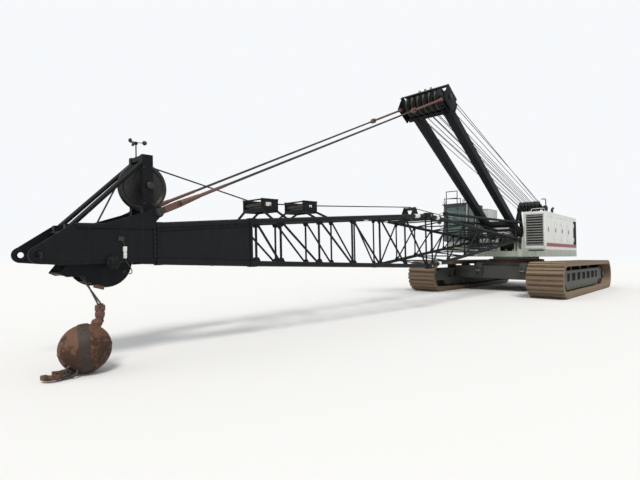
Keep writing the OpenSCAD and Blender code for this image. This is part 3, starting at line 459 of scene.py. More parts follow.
def weathering_group():
    """Dust on upward faces, rust patches, grime runs and a small change of shade."""
    group, start, end = new_group(
        "Site weathering",
        (("Base", COLOUR, (0.1, 0.1, 0.1, 1)), ("Dust colour", COLOUR, (*DUST, 1)),
         ("Rust colour", COLOUR, (*RUST, 1)),
         ("Dust", NUMBER, 0.3), ("Rust", NUMBER, 0.2), ("Grime", NUMBER, 0.2), ("Scale", NUMBER, 2.0),
         ("Roughness", NUMBER, 0.45)),
        (("Colour", COLOUR), ("Roughness", NUMBER), ("Height", NUMBER)))

    def times(a, b, clamp=False):
        return math_node(group, "MULTIPLY", a, b, clamp)

    def plus(a, b, clamp=False):
        return math_node(group, "ADD", a, b, clamp)

    place = group.nodes.new("ShaderNodeTexCoord")
    split = group.nodes.new("ShaderNodeSeparateXYZ")
    group.links.new(place.outputs["Normal"], split.inputs[0])
    coords = place.outputs["Object"]
    broad = noise_node(group, coords, start["Scale"])
    fine = noise_node(group, coords, times(start["Scale"], 9.0), 5.0, 0.65)
    runs = noise_node(group, coords, times(start["Scale"], 2.2), 3.0, 0.6, (3.0, 3.0, 0.35))
    up = ramp_node(group, split.outputs["Z"], 0.25, 0.95)
    dust = plus(times(up, 0.75), times(broad, 0.35))
    dust = times(times(dust, ramp_node(group, fine, 0.25, 0.7)), start["Dust"], True)
    edge = math_node(group, "SUBTRACT", 0.78, times(start["Rust"], 0.42))
    rust = ramp_node(group, plus(times(broad, 0.55), times(fine, 0.45)), edge, plus(edge, 0.07))
    grime = times(ramp_node(group, runs, 0.48, 0.75), start["Grime"], True)
    shade = mix_node(group, broad, (0.86, 0.86, 0.86, 1), (1.12, 1.12, 1.12, 1))
    colour = mix_node(group, 1.0, start["Base"], shade, "MULTIPLY")
    colour = mix_node(group, grime, colour, (0.05, 0.045, 0.035, 1))
    colour = mix_node(group, dust, colour, start["Dust colour"])
    colour = mix_node(group, rust, colour, mix_node(group, fine, start["Rust colour"], (0.07, 0.035, 0.02, 1)))
    rough = plus(start["Roughness"], plus(times(dust, 0.35), times(rust, 0.35)), True)
    height = plus(times(fine, 0.5), times(rust, 0.5))
    for label, socket in (("Colour", colour), ("Roughness", rough), ("Height", height)):
        group.links.new(socket, end[label])
    return group


def strand_group():
    """Twisted strands of a wire rope, read from the piece's UV map: U along it, V round it."""
    group, start, end = new_group("Rope strands", (("Lay", NUMBER, 40.0), ("Strands", NUMBER, 6.0)),
                                  (("Height", NUMBER), ("Shade", NUMBER)))
    place = group.nodes.new("ShaderNodeTexCoord")
    split = group.nodes.new("ShaderNodeSeparateXYZ")
    group.links.new(place.outputs["UV"], split.inputs[0])
    along = math_node(group, "MULTIPLY", split.outputs["X"], start["Lay"])
    around = math_node(group, "MULTIPLY", split.outputs["Y"], start["Strands"])
    angle = math_node(group, "MULTIPLY", math_node(group, "ADD", along, around), 2 * math.pi)
    height = math_node(group, "ABSOLUTE", math_node(group, "SINE", angle))
    group.links.new(height, end["Height"])
    group.links.new(ramp_node(group, height, 0.0, 0.7), end["Shade"])
    return group


def new_finish(name):
    """A new material, its node tree and its shader."""
    finish = bpy.data.materials.new(name)
    finish.use_nodes = True
    return finish, finish.node_tree, finish.node_tree.nodes["Principled BSDF"]


def placed_group(tree, name, build, values):
    """A node that uses a shader node group, built when it is first asked for."""
    node = tree.nodes.new("ShaderNodeGroup")
    node.node_tree = bpy.data.node_groups.get(name) or build()
    set_values(node, values)
    return node


def set_values(node, values):
    """Sets a node's inputs by their names."""
    for label, value in values.items():
        node.inputs[label].default_value = value


def add_relief(tree, shader, height, strength, distance):
    """Bumps a finish by a height."""
    bump = tree.nodes.new("ShaderNodeBump")
    set_values(bump, {"Strength": strength, "Distance": distance})
    tree.links.new(height, bump.inputs["Height"])
    tree.links.new(bump.outputs["Normal"], shader.inputs["Normal"])


def weathered(name, base, rough, dust, rust, grime, scale, bump, metal=0.0, coat=0.0,
              rust_colour=RUST, dust_colour=DUST, shine=0.5):
    """A painted or bare metal that has stood on a site."""
    finish, tree, shader = new_finish(name)
    wear = placed_group(tree, "Site weathering", weathering_group, {
        "Base": (*base, 1), "Dust colour": (*dust_colour, 1), "Rust colour": (*rust_colour, 1),
        "Dust": dust, "Rust": rust, "Grime": grime, "Scale": scale, "Roughness": rough})
    tree.links.new(wear.outputs["Colour"], shader.inputs["Base Color"])
    tree.links.new(wear.outputs["Roughness"], shader.inputs["Roughness"])
    set_values(shader, {"Metallic": metal, "Specular IOR Level": shine, "Coat Weight": coat,
                        "Coat Roughness": 0.25})
    add_relief(tree, shader, wear.outputs["Height"], bump, 0.004)
    return finish


def shaded(colour, factor):
    """A colour made darker by a factor."""
    return tuple(c * factor for c in colour)


def rope_finish(name, base, lay):
    """A greased wire rope of six strands."""
    finish, tree, shader = new_finish(name)
    twist = placed_group(tree, "Rope strands", strand_group, {"Lay": lay, "Strands": 6.0})
    # Painted shade: the grooves between the strands are painted darker, as the shade that falls between them
    colour = mix_node(tree, twist.outputs["Shade"], (*shaded(base, 0.25), 1), (*base, 1))
    tree.links.new(colour, shader.inputs["Base Color"])
    set_values(shader, {"Roughness": 0.5, "Metallic": 0.6})
    add_relief(tree, shader, twist.outputs["Height"], 0.8, 0.003)
    return finish


def glazing(name, tint):
    """Tinted safety glass."""
    finish, tree, shader = new_finish(name)
    set_values(shader, {"Transmission Weight": 0.82, "IOR": 1.45})
    smear = noise_node(tree, tree.nodes.new("ShaderNodeTexCoord").outputs["Object"], 3.0)
    tree.links.new(mix_node(tree, smear, (*tint, 1), (*shaded(tint, 0.8), 1)), shader.inputs["Base Color"])
    rough = math_node(tree, "MULTIPLY", ramp_node(tree, smear, 0.35, 0.8), 0.14)
    tree.links.new(rough, shader.inputs["Roughness"])
    return finish


def lamp_lens(name, base):
    """A moulded lamp lens with fine ribs."""
    finish, tree, shader = new_finish(name)
    ribs = tree.nodes.new("ShaderNodeTexWave")
    ribs.inputs["Scale"].default_value = 60.0
    tree.links.new(tree.nodes.new("ShaderNodeTexCoord").outputs["Object"], ribs.inputs["Vector"])
    colour = mix_node(tree, ribs.outputs["Fac"], (*base, 1), (*shaded(base, 0.75), 1))
    tree.links.new(colour, shader.inputs["Base Color"])
    shader.inputs["Roughness"].default_value = 0.12
    add_relief(tree, shader, ribs.outputs["Fac"], 1.0, 0.002)
    return finish


def make_finishes(look):
    """All finishes of the crane by their plain names."""
    iron, white, green = tuple(look.iron), tuple(look.white), tuple(look.green)
    # name, colour, roughness, dust, rust, grime, scale of the patches, bump, and what else differs
    rows = (
        # Painted shade: the iron colour is darker than the dark paint itself, standing in for the shade on the
        # boom, mast and gantry
        ("iron paint and shade", iron, 0.5, 0.03, 0.08, 0.1, 1.6, 0.15, {"shine": 0.14}),
        ("boom paint and shade", iron, 0.5, 0.05, 0.16, 0.1, 2.4, 0.2, {"shine": 0.16}),
        ("white paint", white, 0.38, 0.16, 0.02, 0.16, 1.1, 0.08,
         {"coat": 0.15, "dust_colour": (0.5, 0.46, 0.38)}),
        ("green paint", green, 0.5, 0.5, 0.3, 0.35, 1.5, 0.2, {}),
        # Painted shade: the louvres take the house white made much darker, partly for grime and partly as the
        # shade on the louvred front
        ("louvre paint and shade", shaded(white, 0.35), 0.55, 0.35, 0.12, 0.6, 3.0, 0.15, {}),
        # Painted shade: the side frames, carbody and drum stands take the deck green made far darker, as the
        # shade under the machine; their own paint is the deck green
        ("frame paint and shade", shaded(green, 0.13), 0.6, 0.3, 0.35, 0.6, 1.8, 0.3, {}),
        ("carbody paint and shade", shaded(green, 0.12), 0.55, 0.2, 0.2, 0.5, 1.6, 0.25, {}),
        ("weight paint", shaded(green, 0.85), 0.6, 0.4, 0.25, 0.4, 1.3, 0.6, {}),
        ("cab paint", tuple(look.cab), 0.42, 0.14, 0.04, 0.2, 1.6, 0.1, {}),
        ("red stripe", (0.28, 0.035, 0.035), 0.42, 0.25, 0.0, 0.3, 2.0, 0.05, {}),
        # grille black: the grille's own black, and also painted shade for the opening behind it
        ("grille black and shade", (0.008, 0.008, 0.009), 0.7, 0.04, 0.02, 0.3, 3.0, 0.1, {"shine": 0.1}),
        ("ball iron", (0.12, 0.052, 0.027), 0.55, 0.1, 0.72, 0.3, 2.2, 0.5,
         {"rust_colour": (0.022, 0.014, 0.011), "shine": 0.3}),
        ("ball band", (0.03, 0.02, 0.015), 0.6, 0.15, 0.3, 0.4, 3.0, 0.4, {"shine": 0.3}),
        ("socket rust", (0.12, 0.05, 0.035), 0.6, 0.2, 0.6, 0.3, 4.0, 0.5,
         {"metal": 0.1, "rust_colour": (0.2, 0.09, 0.06)}),
        ("pendant steel", (0.035, 0.027, 0.023), 0.55, 0.15, 0.35, 0.2, 6.0, 0.3,
         {"metal": 0.3, "rust_colour": (0.1, 0.055, 0.04)}),
        ("track steel", (0.14, 0.095, 0.06), 0.66, 0.9, 0.4, 0.4, 3.0, 0.6,
         {"metal": 0.1, "rust_colour": (0.17, 0.09, 0.05), "dust_colour": (0.42, 0.32, 0.21)}),
        ("rusty steel", (0.13, 0.055, 0.03), 0.6, 0.12, 0.62, 0.3, 3.2, 0.5,
         {"metal": 0.2, "rust_colour": (0.26, 0.1, 0.045)}),
        ("greased steel", (0.03, 0.03, 0.03), 0.45, 0.25, 0.25, 0.3, 3.0, 0.3, {"metal": 0.5}),
        ("bare steel", (0.32, 0.31, 0.29), 0.35, 0.2, 0.35, 0.3, 5.0, 0.2, {"metal": 0.85}),
        ("wound rope", (0.05, 0.045, 0.04), 0.5, 0.15, 0.2, 0.2, 14.0, 0.9, {"metal": 0.6}),
        ("mirror", (0.75, 0.77, 0.78), 0.05, 0.1, 0.0, 0.1, 6.0, 0.0, {"metal": 1.0}),
        ("black trim", (0.012, 0.012, 0.013), 0.55, 0.2, 0.0, 0.1, 4.0, 0.3, {}),
        ("rubber", (0.02, 0.02, 0.02), 0.8, 0.35, 0.0, 0.1, 5.0, 0.4, {}),
        ("connector white", (0.7, 0.7, 0.67), 0.4, 0.2, 0.0, 0.35, 12.0, 0.1, {}),
        ("seat cloth", (0.03, 0.032, 0.038), 0.9, 0.15, 0.0, 0.1, 60.0, 0.8, {}),
        # radiator: black of the radiator core, also painted shade behind the louvre
        ("radiator", (0.02, 0.02, 0.02), 0.6, 0.5, 0.1, 0.2, 30.0, 1.0, {}),
    )
    for name, *values, extra in rows:
        FINISHES[name] = weathered(name, *values, **extra)
    FINISHES["hoist rope"] = rope_finish("hoist rope", (0.05, 0.046, 0.042), look.rope_lay)
    FINISHES["tinted glass"] = glazing("tinted glass", (0.3, 0.46, 0.43))
    FINISHES["clear lens"] = lamp_lens("clear lens", (0.8, 0.8, 0.78))


NODE_FINISH = {
    "iron paint and shade": ["gantry", "mast", "bail", "boom_head", "head_strut", "boom_stops", "drum_front",
                   "drum_rear", "drum_boom_hoist"],
    "boom paint and shade": ["boom_base", "boom_top"],
    "louvre paint and shade": ["louvre_panel"],
    "white paint": ["engine_house", "machine_house", "engine_door_1", "engine_door_2", "engine_door_3",
                    "engine_door_4"],
    "cab paint": ["cab_shell", "cab_door"],
    "green paint": ["deck"],
    "carbody paint and shade": ["carbody", "drum_stands"],
    "frame paint and shade": ["crawler_frame_left", "crawler_frame_right"],
    "track steel": ["track_left", "track_right"],
    "ball iron": ["hook_ball"],
    "pendant steel": ["pendants"],
    "rusty steel": ["slew_ring"],
    "greased steel": ["running_gear_left", "running_gear_right", "mast_sheaves", "bail_sheaves",
                      "deflector_sheave", "point_sheaves", "guide_rollers", "engine", "roof_fittings"],
    "weight paint": ["counterweight"],
    "tinted glass": ["cab_glass", "cab_door_glass"],
    "seat cloth": ["operator_seat"],
    "wound rope": ["hook_rope"],
}


def dress_nodes():
    """Gives every CAD node its finish."""
    for finish, nodes in NODE_FINISH.items():
        for node in nodes:
            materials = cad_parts[node].data.materials
            materials.clear()
            materials.append(FINISHES[finish])


# Tracks


TRACK_R = 0.64
TRACK_Y = 2.351
SHOES = 60
PATH_R = 0.542
SHOE_DROP = TRACK_R - math.sqrt(TRACK_R ** 2 - 0.118 ** 2)
AXLE_X = 4.392 - TRACK_R + SHOE_DROP
PATH_LEN = 4 * AXLE_X + 2 * math.pi * PATH_R


def on_track(d, out, y):
    """Point and outward direction at a distance along the shoe path."""
    d %= PATH_LEN
    half_turn = math.pi * PATH_R
    if d < 2 * AXLE_X:
        hub, turn = d - AXLE_X, math.pi / 2
    elif d < 2 * AXLE_X + half_turn:
        hub, turn = AXLE_X, math.pi / 2 - (d - 2 * AXLE_X) / PATH_R
    elif d < 4 * AXLE_X + half_turn:
        hub, turn = AXLE_X - (d - 2 * AXLE_X - half_turn), -math.pi / 2
    else:
        hub, turn = -AXLE_X, -math.pi / 2 - (d - 4 * AXLE_X - half_turn) / PATH_R
    r = PATH_R + out
    way = Vector((math.cos(turn), 0, math.sin(turn)))
    return at(hub + r * way.x, y, TRACK_R + r * way.z), way


def track_fittings():
    """Shoe bolts, link plates and link pins of both tracks."""
    step = PATH_LEN / SHOES
    start = 2 * AXLE_X + math.pi * PATH_R / 2
    bolts, links, pins = [], [], []
    for side in BOTH:
        for i in range(SHOES):
            d = start + i * step
            bolts += [on_track(d + 0.004, 0.055, side * TRACK_Y + dy) for dy in (-0.21, -0.12, 0.12, 0.21)]
            for dy in (-0.175, 0.175):
                p, way = on_track(d + step / 2, -0.03, side * TRACK_Y + dy)
                links.append((p, Euler((0, -math.atan2(way.z, way.x), 0))))
                pins.append((on_track(d, -0.03, side * TRACK_Y + dy * 1.1)[0], LEFT))
    repeat("track_shoe_bolts", "undercarriage", "hex", (0.017, 0, 0.026), bolts, "track steel")
    repeat("track_link_plates", "undercarriage", "block", (0.058, 0.03, step * 0.8), links, "greased steel")
    repeat("track_link_pins", "undercarriage", "round", (0.022, 0, 0.06), pins, "greased steel")


class CRANE_OT_tracks(bpy.types.Operator):
    """Adds the shoe bolts and the link chain of both tracks."""
    bl_idname = "crane.tracks"
    bl_label = "Tracks"

    def execute(self, context):
        track_fittings()
        return {"FINISHED"}


# Undercarriage


SIDES = {-1: "right", 1: "left"}
FACES = {-1: "inner", 1: "outer"}
CAPS = (
    ("drive_cap", -AXLE_X, 0.3508, ((0, 0.105), (0.02, 0.105), (0.045, 0.085), (0.05, 0.04)), 40, "frame paint and shade"),
    ("idler_cap", AXLE_X, 0.3305, ((0, 0.072), (0.012, 0.072), (0.022, 0.06), (0.024, 0.02)), 32,
     "greased steel"))


def undercarriage_fittings():
    """Bolts and caps of the drives, idlers, rollers and slew ring."""
    bolts, caps, nuts = [], [], []
    for side, face in CORNERS:
        y0 = side * TRACK_Y
        way = sideways(face)
        bolts += bolt_circle(at, (-AXLE_X, TRACK_R), y0 + face * 0.3515, 0.15, 14, way)
        nuts += bolt_circle(at, (AXLE_X, TRACK_R), y0 + face * 0.319, 0.155, 6, way)
        for k in range(12):
            x = -2.7 + k * 5.4 / 11
            caps.append((at(x, y0 + face * 0.3165, 0.292), way))
            nuts += [(at(x + dx, y0 + face * 0.3165, 0.292), way) for dx in (-0.062, 0.062)]
        for name, x, lift, profile, sides, finish in CAPS:
            cap = Shape()
            cap.wheel(at(x, y0 + face * lift, TRACK_R), profile, sides, way)
            cap.make(f"{name}_{SIDES[side]}_{FACES[side * face]}", "undercarriage", finish)
    repeat("final_drive_bolts", "undercarriage", "hex", (0.017, 0, 0.022), bolts, "greased steel")
    repeat("roller_end_caps", "undercarriage", "round", (0.042, 0, 0.012), caps, "frame paint and shade")
    repeat("roller_bolts", "undercarriage", "hex", (0.012, 0, 0.014), nuts, "greased steel")
    ring = [(at(1.07 * c, 1.07 * s, 1.338), UP) for c, s in circle(60)]
    repeat("slew_ring_bolts", "undercarriage", "hex", (0.018, 0, 0.016), ring, "greased steel")


def carbody_fittings():
    """Brackets, pins and pads on the carbody's corner boxes, weld seams on its front, and the travel hoses to
    the side frames.
    """
    shape = Shape()
    pins = []
    bracket = [(0, 0.70), (0.10, 0.74), (0.16, 0.86), (0.10, 0.98), (0, 1.04)]
    for sx, sy in CORNERS:
        x, y = sx * 1.91, sy * 0.9
        for y1 in (y - 0.08, y + 0.08):
            shape.slab(bracket, lambda u, v, t: at(x + sx * (u + 0.002), y1 + t, v), 0.022)
        pins.append((at(x + sx * 0.1, y, 0.86), LEFT))
        shape.block(at(sx * 1.76, y, 1.186), (0.22, 0.18, 0.012), bevel=0.003)
    shape.make("carbody_brackets", "undercarriage", "carbody paint and shade")
    repeat("carbody_pins", "undercarriage", "round", (0.03, 0, 0.22), pins, "bare steel")
    seams = Shape()
    for y in (-0.45, 0.0, 0.45):
        seams.block(at(1.2825, y, 0.835), (0.004, 0.025, 0.66), bevel=0.001)
    for z in (0.56, 1.1):
        seams.block(at(1.2825, 0, z), (0.005, 2.4, 0.03), bevel=0.001)
    seams.make("carbody_welds", "undercarriage", "carbody paint and shade")
    hoses = Shape()
    for side in BOTH:
        for k in range(3):
            z = 0.72 + 0.07 * k
            path = bend(8, (-1.285, side * (0.5 + 0.06 * k), z), (-1.36, side * (0.55 + 0.06 * k), z + 0.02),
                        (-1.55, side * (0.78 + 0.03 * k), 1.09 + 0.02 * k), (-1.85, side * 1.3, 1.07 + 0.03 * k),
                        (-2.2, side * 1.75, 1.0 + 0.02 * k), (-2.5, side * 2.0, 0.86 + 0.03 * k),
                        (-2.62, side * 2.038, 0.8 + 0.035 * k))
            hoses.tube(path, 0.016, 10)
    hoses.make("travel_hoses", "undercarriage", "rubber")


# Engine house


HOUSE_Y = 1.65
HOUSE_IN = 0.8
HOUSE_MID = 1.225
HOUSE_X = -1.145
ROOF_Z = 3.3
DOOR_LOW = 2.018
DOOR_HIGH = 3.132
DOORS = 4
DOOR_PITCH = 1.0825


def door_fittings():
    """Latch, pressed ribs and edge beads of every engine door."""
    middle = (DOOR_LOW + DOOR_HIGH) / 2
    for i in range(1, DOORS + 1):
        x0, x1 = -3.06 + DOOR_PITCH * (i - 1) + 0.008, -3.06 + DOOR_PITCH * i - 0.048
        body = f"engine_door_{i}"
        beads = Shape()
        for z in (DOOR_LOW + 0.03, DOOR_HIGH - 0.03):
            beads.block(at((x0 + x1) / 2 + 0.06, HOUSE_Y + 0.002, z), (x1 - x0 - 0.2, 0.005, 0.014),
                        bevel=0.0015)
        for x in (x0 + 0.165, x1 - 0.03):
            beads.block(at(x, HOUSE_Y + 0.002, middle), (0.014, 0.005, DOOR_HIGH - DOOR_LOW - 0.06),
                        bevel=0.0015)
        beads.make(f"door_{i}_beads", body, "white paint")
        latch = Shape()
        latch.block(at(x1 - 0.095, HOUSE_Y + 0.0245, middle), (0.05, 0.004, 0.19), bevel=0.0015)
        latch.block(at(x1 - 0.095, HOUSE_Y + 0.031, middle - 0.03), (0.024, 0.012, 0.11), bevel=0.004)
        lock = ((0, 0.013), (0.006, 0.013), (0.008, 0.009))
        latch.wheel(at(x1 - 0.095, HOUSE_Y + 0.0262, middle + 0.045), lock, 20)
        latch.make(f"door_{i}_latch", body, "black trim")
        screws = [(at(x0 + dx, HOUSE_Y + 0.0135, z + dz), LEFT)
                  for z in (DOOR_LOW + 0.2 * 1.13 - 0.001, DOOR_LOW + 0.8 * 1.13 - 0.02)
                  for dx in (0.05, 0.09) for dz in (-0.035, 0.035)]
        repeat(f"door_{i}_screws", body, "hex", (0.008, 0, 0.006), screws, "white paint")


def house_shell_fittings():
    """Stripe, edge angles, roof seams and roof screws of the engine house."""
    stripe = Shape()
    stripe.block(at(HOUSE_X, HOUSE_Y + 0.0015, 1.94), (5.08, 0.002, 0.14))
    stripe.make("house_stripe", "upper", "red stripe")
    edges = Shape()
    for x, sx in ((-3.7, -1), (1.41, 1)):
        for y, sy in ((HOUSE_IN, -1), (HOUSE_Y, 1)):
            edges.block(at(x + sx * 0.003, y - sy * 0.022, 2.525), (0.006, 0.05, 1.54), bevel=0.002)
            edges.block(at(x - sx * 0.022, y + sy * 0.003, 2.525), (0.05, 0.006, 1.54), bevel=0.002)
    for y, sy in ((HOUSE_IN, -1), (HOUSE_Y, 1)):
        edges.block(at(HOUSE_X, y - sy * 0.028, 3.304), (5.12, 0.06, 0.008), bevel=0.002)
        edges.block(at(HOUSE_X, y + sy * 0.004, 3.275), (5.12, 0.008, 0.05), bevel=0.002)
    for x in (-3.67, 1.38):
        edges.block(at(x, HOUSE_MID, 3.304), (0.06, 0.85, 0.008), bevel=0.002)
    for x in (-2.6, -1.05, 0.35):
        edges.block(at(x, HOUSE_MID, 3.306), (0.04, 0.78, 0.012), bevel=0.003)
    edges.make("house_edges", "upper", "white paint")
    screws = [(at(-3.62 + k * 0.15, y, 3.3095), UP) for k in range(34) for y in (0.828, 1.622)]
    repeat("house_roof_screws", "upper", "round", (0.007, 0, 0.004), screws, "white paint")


def house_opening_fittings():
    """Louvre frame, radiator core and rear grille of the engine house; their black core and sheets are partly
    painted shade.
    """
    posts = Shape()
    for y in (0.862, 1.588):
        posts.block(at(1.422, y, 2.525), (0.024, 0.05, 1.5), bevel=0.006)
    for z in (1.83, 3.235):
        posts.block(at(1.42, HOUSE_MID, z), (0.02, 0.68, 0.05), bevel=0.004)
    posts.make("louvre_frame", "upper", "white paint")
    bolts = [(at(1.436, y, z), AHEAD) for y in (0.862, 1.588) for z in (1.85, 2.1, 2.35, 2.6, 2.85, 3.1, 3.2)]
    repeat("louvre_bolts", "upper", "hex", (0.011, 0, 0.008), bolts, "bare steel")
    # Painted shade: the black core just behind the louvre slats is a radiator core and also stands in for the
    # shade inside the louvre
    core = Shape()
    core.block(at(1.33, HOUSE_MID, 2.55), (0.01, 0.66, 1.26), bevel=0.002)
    core.make("radiator_core_and_shade", "upper", "radiator")
    wide, bars = 0.44, 9
    mesh = Shape()
    # Painted shade: the black sheet inside the wall and the solid black panel for the mesh stand in for the
    # shade in the opening behind the grille; the grille is black too
    mesh.block(at(-3.37, HOUSE_Y - 0.03, 2.575), (0.4, 0.006, 1.1))
    mesh.block(at(-3.36, HOUSE_Y + 0.011, 2.575), (wide, 0.022, 1.11), bevel=0.003)
    for z in (DOOR_LOW + 0.015, DOOR_HIGH - 0.015):
        mesh.block(at(-3.36, HOUSE_Y + 0.016, z), (wide, 0.03, 0.03), bevel=0.003)
    mesh.make("rear_grille_mesh_and_shade", "upper", "grille black and shade")
    places = [(at(-3.58 + wide * (k + 0.5) / bars, HOUSE_Y + 0.023, 2.575), Euler((0, 0, 0)))
              for k in range(bars)]
    repeat("rear_grille_bars", "upper", "block", (0.012, 0.014, 1.1), places, "black trim")


def house_roof_fittings():
    """Bent pipe, grab rail, caps and exhaust flange on the roof of the engine house."""
    pipe = Shape()
    pipe.tube(bend(6, (1.25, 1.62, 3.302), (1.25, 1.62, 3.72), (1.25, 1.6, 3.8), (1.25, 1.52, 3.82),
                   (1.25, 1.46, 3.8)), 0.02, 12)
    pipe.make("roof_bent_pipe", "upper", "greased steel")
    rails = Shape()
    over = ((1.55, 3.31), (1.55, 3.40), (1.5, 3.44), (1.1, 3.44), (1.05, 3.40), (1.05, 3.31))
    rails.tube(bend(6, *((1.2, y, z) for y, z in over)), 0.012, 10)
    rails.make("house_rails", "upper", "white paint")
    caps = Shape()
    caps.wheel(at(0.55, 1.25, ROOF_Z), ((0.0, 0.14), (0.02, 0.14), (0.05, 0.12), (0.055, 0.03)), 36, UP)
    caps.wheel(at(-0.6, 1.1, ROOF_Z), ((0.0, 0.09), (0.16, 0.09), (0.162, 0.13), (0.2, 0.11), (0.21, 0.02)),
               36, UP)
    caps.hoop(at(-1.5, 1.15, 3.345), UP, 0.062, 0.008, 32)
    caps.make("roof_caps", "upper", "greased steel")
    flange = Shape()
    flange.block(at(-1.5, 1.15, 3.304), (0.22, 0.22, 0.008), bevel=0.002)
    flange.make("exhaust_flange", "upper", "rusty steel")


def deck_fittings():
    """Sill bolts, edge angles and hoses on the deck."""
    bolts = [(at(-3.6 + k * 0.2, side * 1.654, 1.71), sideways(side)) for k in range(26) for side in (1, -1)]
    repeat("sill_bolts", "upper", "hex", (0.010, 0, 0.008), bolts, "green paint")
    angles = Shape()
    for side in BOTH:
        angles.block(at(HOUSE_X, side * 1.655, 1.458), (5.1, 0.01, 0.014), bevel=0.003)
        angles.block(at(1.4, side * 1.2, 1.67), (0.03, 0.5, 0.01), bevel=0.002)
    angles.block(at(1.417, 0, 1.462), (0.012, 3.2, 0.02), bevel=0.003)
    angles.make("deck_edge_angles", "upper", "green paint")
    hoses = Shape()
    for k in range(4):
        y = 0.62 - 0.05 * k
        line = [at(-2.0, y, 1.66), at(-1.2, y, 1.652), at(-0.2, y + 0.02, 1.652), at(0.7, y - 0.02, 1.655),
                at(1.3, y - 0.25, 1.66)]
        hoses.tube(smooth_path(line, 8), 0.015)
        hoses.tube(smooth_path([p + Vector((0, -1.15 + 0.1 * k, 0)) for p in line], 8), 0.015)
    hoses.make("deck_hoses", "upper", "rubber")


def machine_house_fittings():
    """Panels, handles, vents and roof screws of the machine house behind the cab."""
    panels = Shape()
    for x0, x1, top in ((-3.65, -2.45, 2.95), (-2.41, -1.21, 2.95), (-1.17, -0.05, 2.95), (0.05, 1.09, 3.54)):
        for y in (-1.65 - 0.003, -0.8 + 0.003):
            panels.block(at((x0 + x1) / 2, y, (1.82 + top) / 2), (x1 - x0, 0.007, top - 1.82), bevel=0.0025)
    panels.block(at(1.1435, -HOUSE_MID, 2.7), (0.007, 0.78, 1.7), bevel=0.0025)
    panels.block(at(-3.7035, -HOUSE_MID, 2.4), (0.007, 0.78, 1.2), bevel=0.0025)
    for x0, x1, z in ((-3.7, 0.0, 3.0), (0.0, 1.14, 3.59)):
        panels.block(at((x0 + x1) / 2, -HOUSE_MID, z + 0.004), (x1 - x0 + 0.02, 0.87, 0.008), bevel=0.003)
    panels.make("machine_house_panels", "upper", "white paint")
    handles = Shape()
    for x in (-2.52, -1.28, -0.12, 1.02):
        for y, side in ((-1.6575, -1), (-0.7925, 1)):
            handles.block(at(x, y + side * 0.003, 2.4), (0.04, 0.006, 0.14), bevel=0.002)
            handles.block(at(x, y + side * 0.012, 2.38), (0.018, 0.014, 0.08), bevel=0.004)
    handles.make("machine_house_latches", "upper", "black trim")
    slats = [(at(x, y, 2.5 + 0.045 * k), Euler((math.radians(tilt), 0, 0)))
             for k in range(9) for x in (-3.05, 0.57) for y, tilt in ((-1.664, -30), (-0.786, 30))]
    repeat("machine_house_vents", "upper", "block", (0.6, 0.026, 0.004), slats, "white paint")
    screws = []
    for x in [-3.6 + 0.2 * k for k in range(24)]:
        screws += [(at(x, y, 3.0095 if x < 0 else 3.5995), UP) for y in (-1.62, -0.83)]
    repeat("machine_house_screws", "upper", "round", (0.007, 0, 0.004), screws, "white paint")


def weight_fittings():
    """Seams, lifting lugs and tie bolts of the counterweight."""
    shape = Shape()
    for z in (1.97, 2.47):
        shape.block(at(-4.0, 0, z), (0.612, 3.012, 0.016), bevel=0.004)
    lug = [(-0.07, 2.965), (0.07, 2.965), (0.07, 3.03), (0.035, 3.07), (-0.035, 3.07), (-0.07, 3.03)]
    for y in (-1.1, 1.1):
        for x in (-4.15, -3.85):
            shape.slab(lug, lambda u, v, t: at(x + u, y + t, v), 0.03)
    shape.make("counterweight_seams", "upper", "weight paint")
    bolts = [(at(-4.303, y, z), Vector((-1, 0, 0)))
             for y in (-1.3, -0.45, 0.45, 1.3) for z in (1.6, 2.2, 2.72)]
    repeat("counterweight_bolts", "upper", "hex", (0.032, 0, 0.03), bolts, "rusty steel")


class CRANE_OT_undercarriage(bpy.types.Operator):
    """Adds the caps, bolts, brackets and hoses of the undercarriage."""
    bl_idname = "crane.undercarriage"
    bl_label = "Undercarriage"

    def execute(self, context):
        undercarriage_fittings()
        carbody_fittings()
        return {"FINISHED"}


class CRANE_OT_houses(bpy.types.Operator):
    """Adds the fittings of the engine house, machine house, deck and counterweight."""
    bl_idname = "crane.houses"
    bl_label = "Houses"

    def execute(self, context):
        door_fittings()
        house_shell_fittings()
        house_opening_fittings()
        house_roof_fittings()
        deck_fittings()
        machine_house_fittings()
        weight_fittings()
        return {"FINISHED"}


# Cab


CAB_Y = -1.525
CAB_FLOOR = 2.15
FRONT_KNEE = 2.6
FRONT_SLOPES = (0.12, -0.0625)
FRONT_TURN = -0.0625
CAB_LEFT = -0.9995
CAB_RIGHT = -2.0505
CAB_REAR = 1.1995
GASKET = (0.022, 0.008)


def cab_front_x(z):
    """Outer face of the cab's front at a height."""
    if z < FRONT_KNEE:
        return 2.86 + FRONT_SLOPES[0] * (z - 2.1)
    return 2.92 + FRONT_SLOPES[1] * (z - FRONT_KNEE)


def window_frame(shape, corners):
    """A flat gasket round a four-sided window."""
    width, lift = GASKET
    middle = sum(corners, Vector()) / 4
    normal = (corners[1] - corners[0]).cross(corners[3] - corners[0]).normalized() * lift
    inner = [c + (middle - c).normalized() * width for c in corners]
    outer = [c - (middle - c).normalized() * width * 0.5 for c in corners]
    rows = [shape.ring(p + normal * up for p in ring)
            for ring, up in ((outer, 0), (outer, 1), (inner, 1), (inner, 0))]
    made = [face for a, b in zip(rows, rows[1:] + rows[:1]) for face in shape.skin(a, b)]
    bmesh.ops.recalc_face_normals(shape.bm, faces=made)


